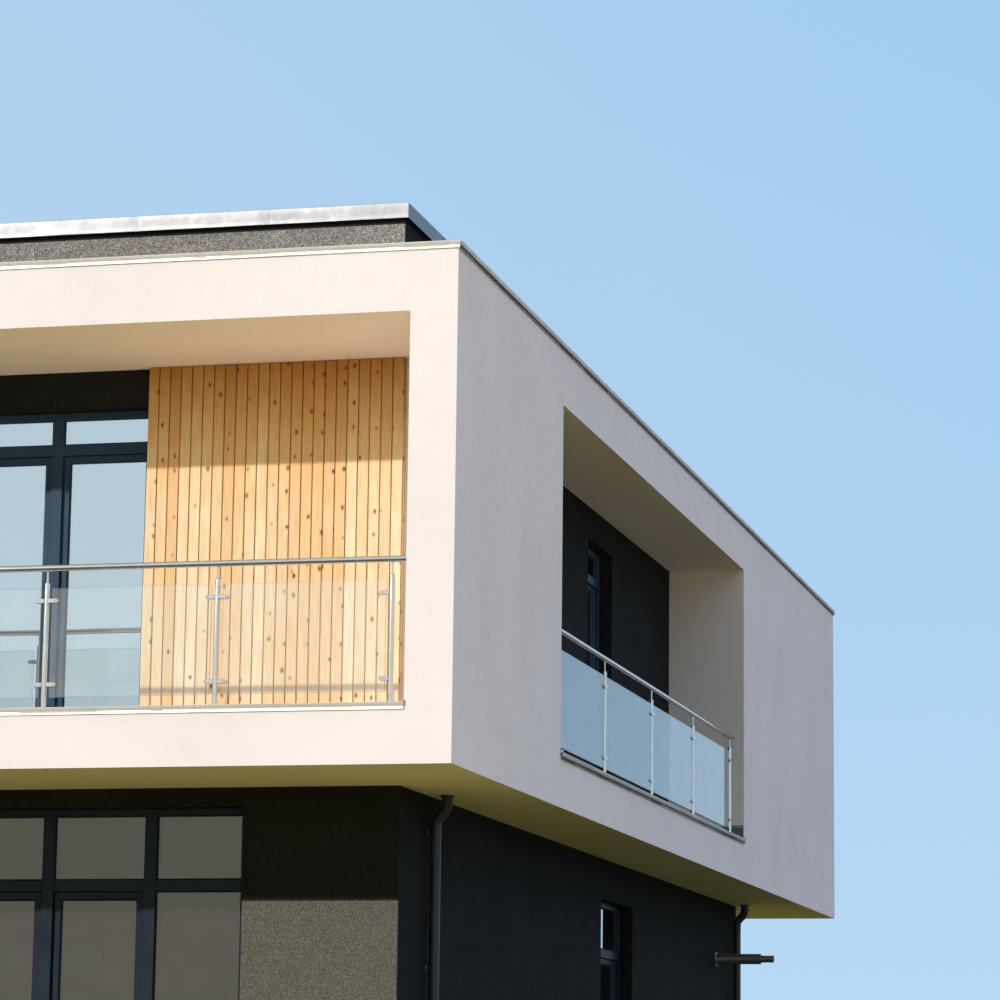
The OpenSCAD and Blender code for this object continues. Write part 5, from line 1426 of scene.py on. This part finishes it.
def make_floor():
    """A wide pale floor. The light that it throws back up is that of dry ground, darker and
    warmer than it looks, with a lighter street in front and shaded planting at the house's
    right side. Mirrors see it grey."""
    half = FLOOR_HALF
    shade_reach = 1.0                 # the planting's shade is full this far past the box
    street_near, street_far = 5.0, 11.0    # the street begins and is full this far in front
    mesh = bpy.data.meshes.new("floor")
    mesh.from_pydata([(-half, -half, 0), (half, -half, 0), (half, half, 0), (-half, half, 0)],
        [], [(0, 1, 2, 3)])
    made, add, place = start_material("pale_floor")
    ray = add("LightPath")
    speckle = add("TexNoise", {"Vector": place, "Scale": 1 / 2.5, "Detail": 4.0})[0]
    pale = add("Mix", {0: speckle, 6: linear("D4CEC0"), 7: linear("CCC6B8")},
        data_type="RGBA")[2]
    axes = add("SeparateXYZ", {0: place})
    side = add("MapRange", {0: axes[0], 1: CORE_X, 2: BOX_HIGH[0] + shade_reach})[0]
    back = add("MapRange", {0: axes[1], 1: BOX_LOW[1] - shade_reach, 2: CORE_FRONT})[0]
    shade = add("Math", {0: side, 1: back}, operation="MULTIPLY")[0]
    ground = add("Mix", {0: shade, 6: linear("A8963C"), 7: linear("55501C")},
        data_type="RGBA")[2]
    street = add("MapRange", {0: axes[1], 1: CORE_FRONT - street_far,
        2: CORE_FRONT - street_near, 3: 1.0, 4: 0.0})[0]
    ground = add("Mix", {0: street, 6: ground, 7: linear("DFC890")}, data_type="RGBA")[2]
    colour = add("Mix", {0: ray["Is Diffuse Ray"], 6: pale, 7: ground}, data_type="RGBA")[2]
    colour = add("Mix", {0: ray["Is Glossy Ray"], 6: colour, 7: linear("6A6759")},
        data_type="RGBA")[2]
    add("OutputMaterial", {0: add("BsdfPrincipled", {"Base Color": colour, "Roughness": 0.95,
        "Specular IOR Level": 0.1})[0]})
    mesh.materials.append(made)
    floor = bpy.data.objects.new("floor", mesh)
    bpy.context.scene.collection.objects.link(floor)


WHITE = white_render()
SLAB = loggia_slab()
CHARCOAL = charcoal_render()
SCREED = cement_screed()
BITUMEN = bitumen_sheet()
LARCH = oiled_larch()
BATTEN = sawn_batten()
COAT = powder_coat()
CREAM = cream_sheet()
ZINC = galvanised_sheet()
STEEL = brushed_stainless()
PIPE = anthracite_pipe()
RUBBER = seal_rubber()
SPACER = spacer_bar()
# Toughened clear glass of the balustrades; insulating glass whose coating mirrors the pale
# sky; insulating glass with a bronze tinge that leaves the ground floor dark
RAIL_GLASS = float_glass("toughened_clear_glass", "F8FCFB", 0.0, 0.08, 0.0)
UPPER_GLASS = float_glass("solar_control_glass", "DDECF4", 0.85, 0.04, 0.02)
GROUND_GLASS = float_glass("bronze_tinged_glass", "8F8878", 0.22, 0.14, 0.015)

finish_masonry()
timber_boards()
framed_units("upper_unit_frames", "upper_unit_leaves", "upper_unit_glass", COAT, UPPER_GLASS,
    "upper_unit", KICK_H / STILE_W)
framed_units("window_frames", "window_sashes", "window_glass", COAT, UPPER_GLASS, "window", 1.0)
ground_units()
door_leaf("a", -1)
door_leaf("b", 1)
parapet_cap()
roof_edge_trims()
kerb_trims()
balustrade("front_glass_panels", "front_posts", "front_handrail", "front")
balustrade("side_glass_panels", "side_posts", "side_handrails", "side")
pipes()
flue()
window_sill_sheets()
upstrip_trims()
kerb_upstands()
make_floor()
make_sun()
make_sky()
make_camera()

bpy.context.scene.view_settings.view_transform = "Standard"
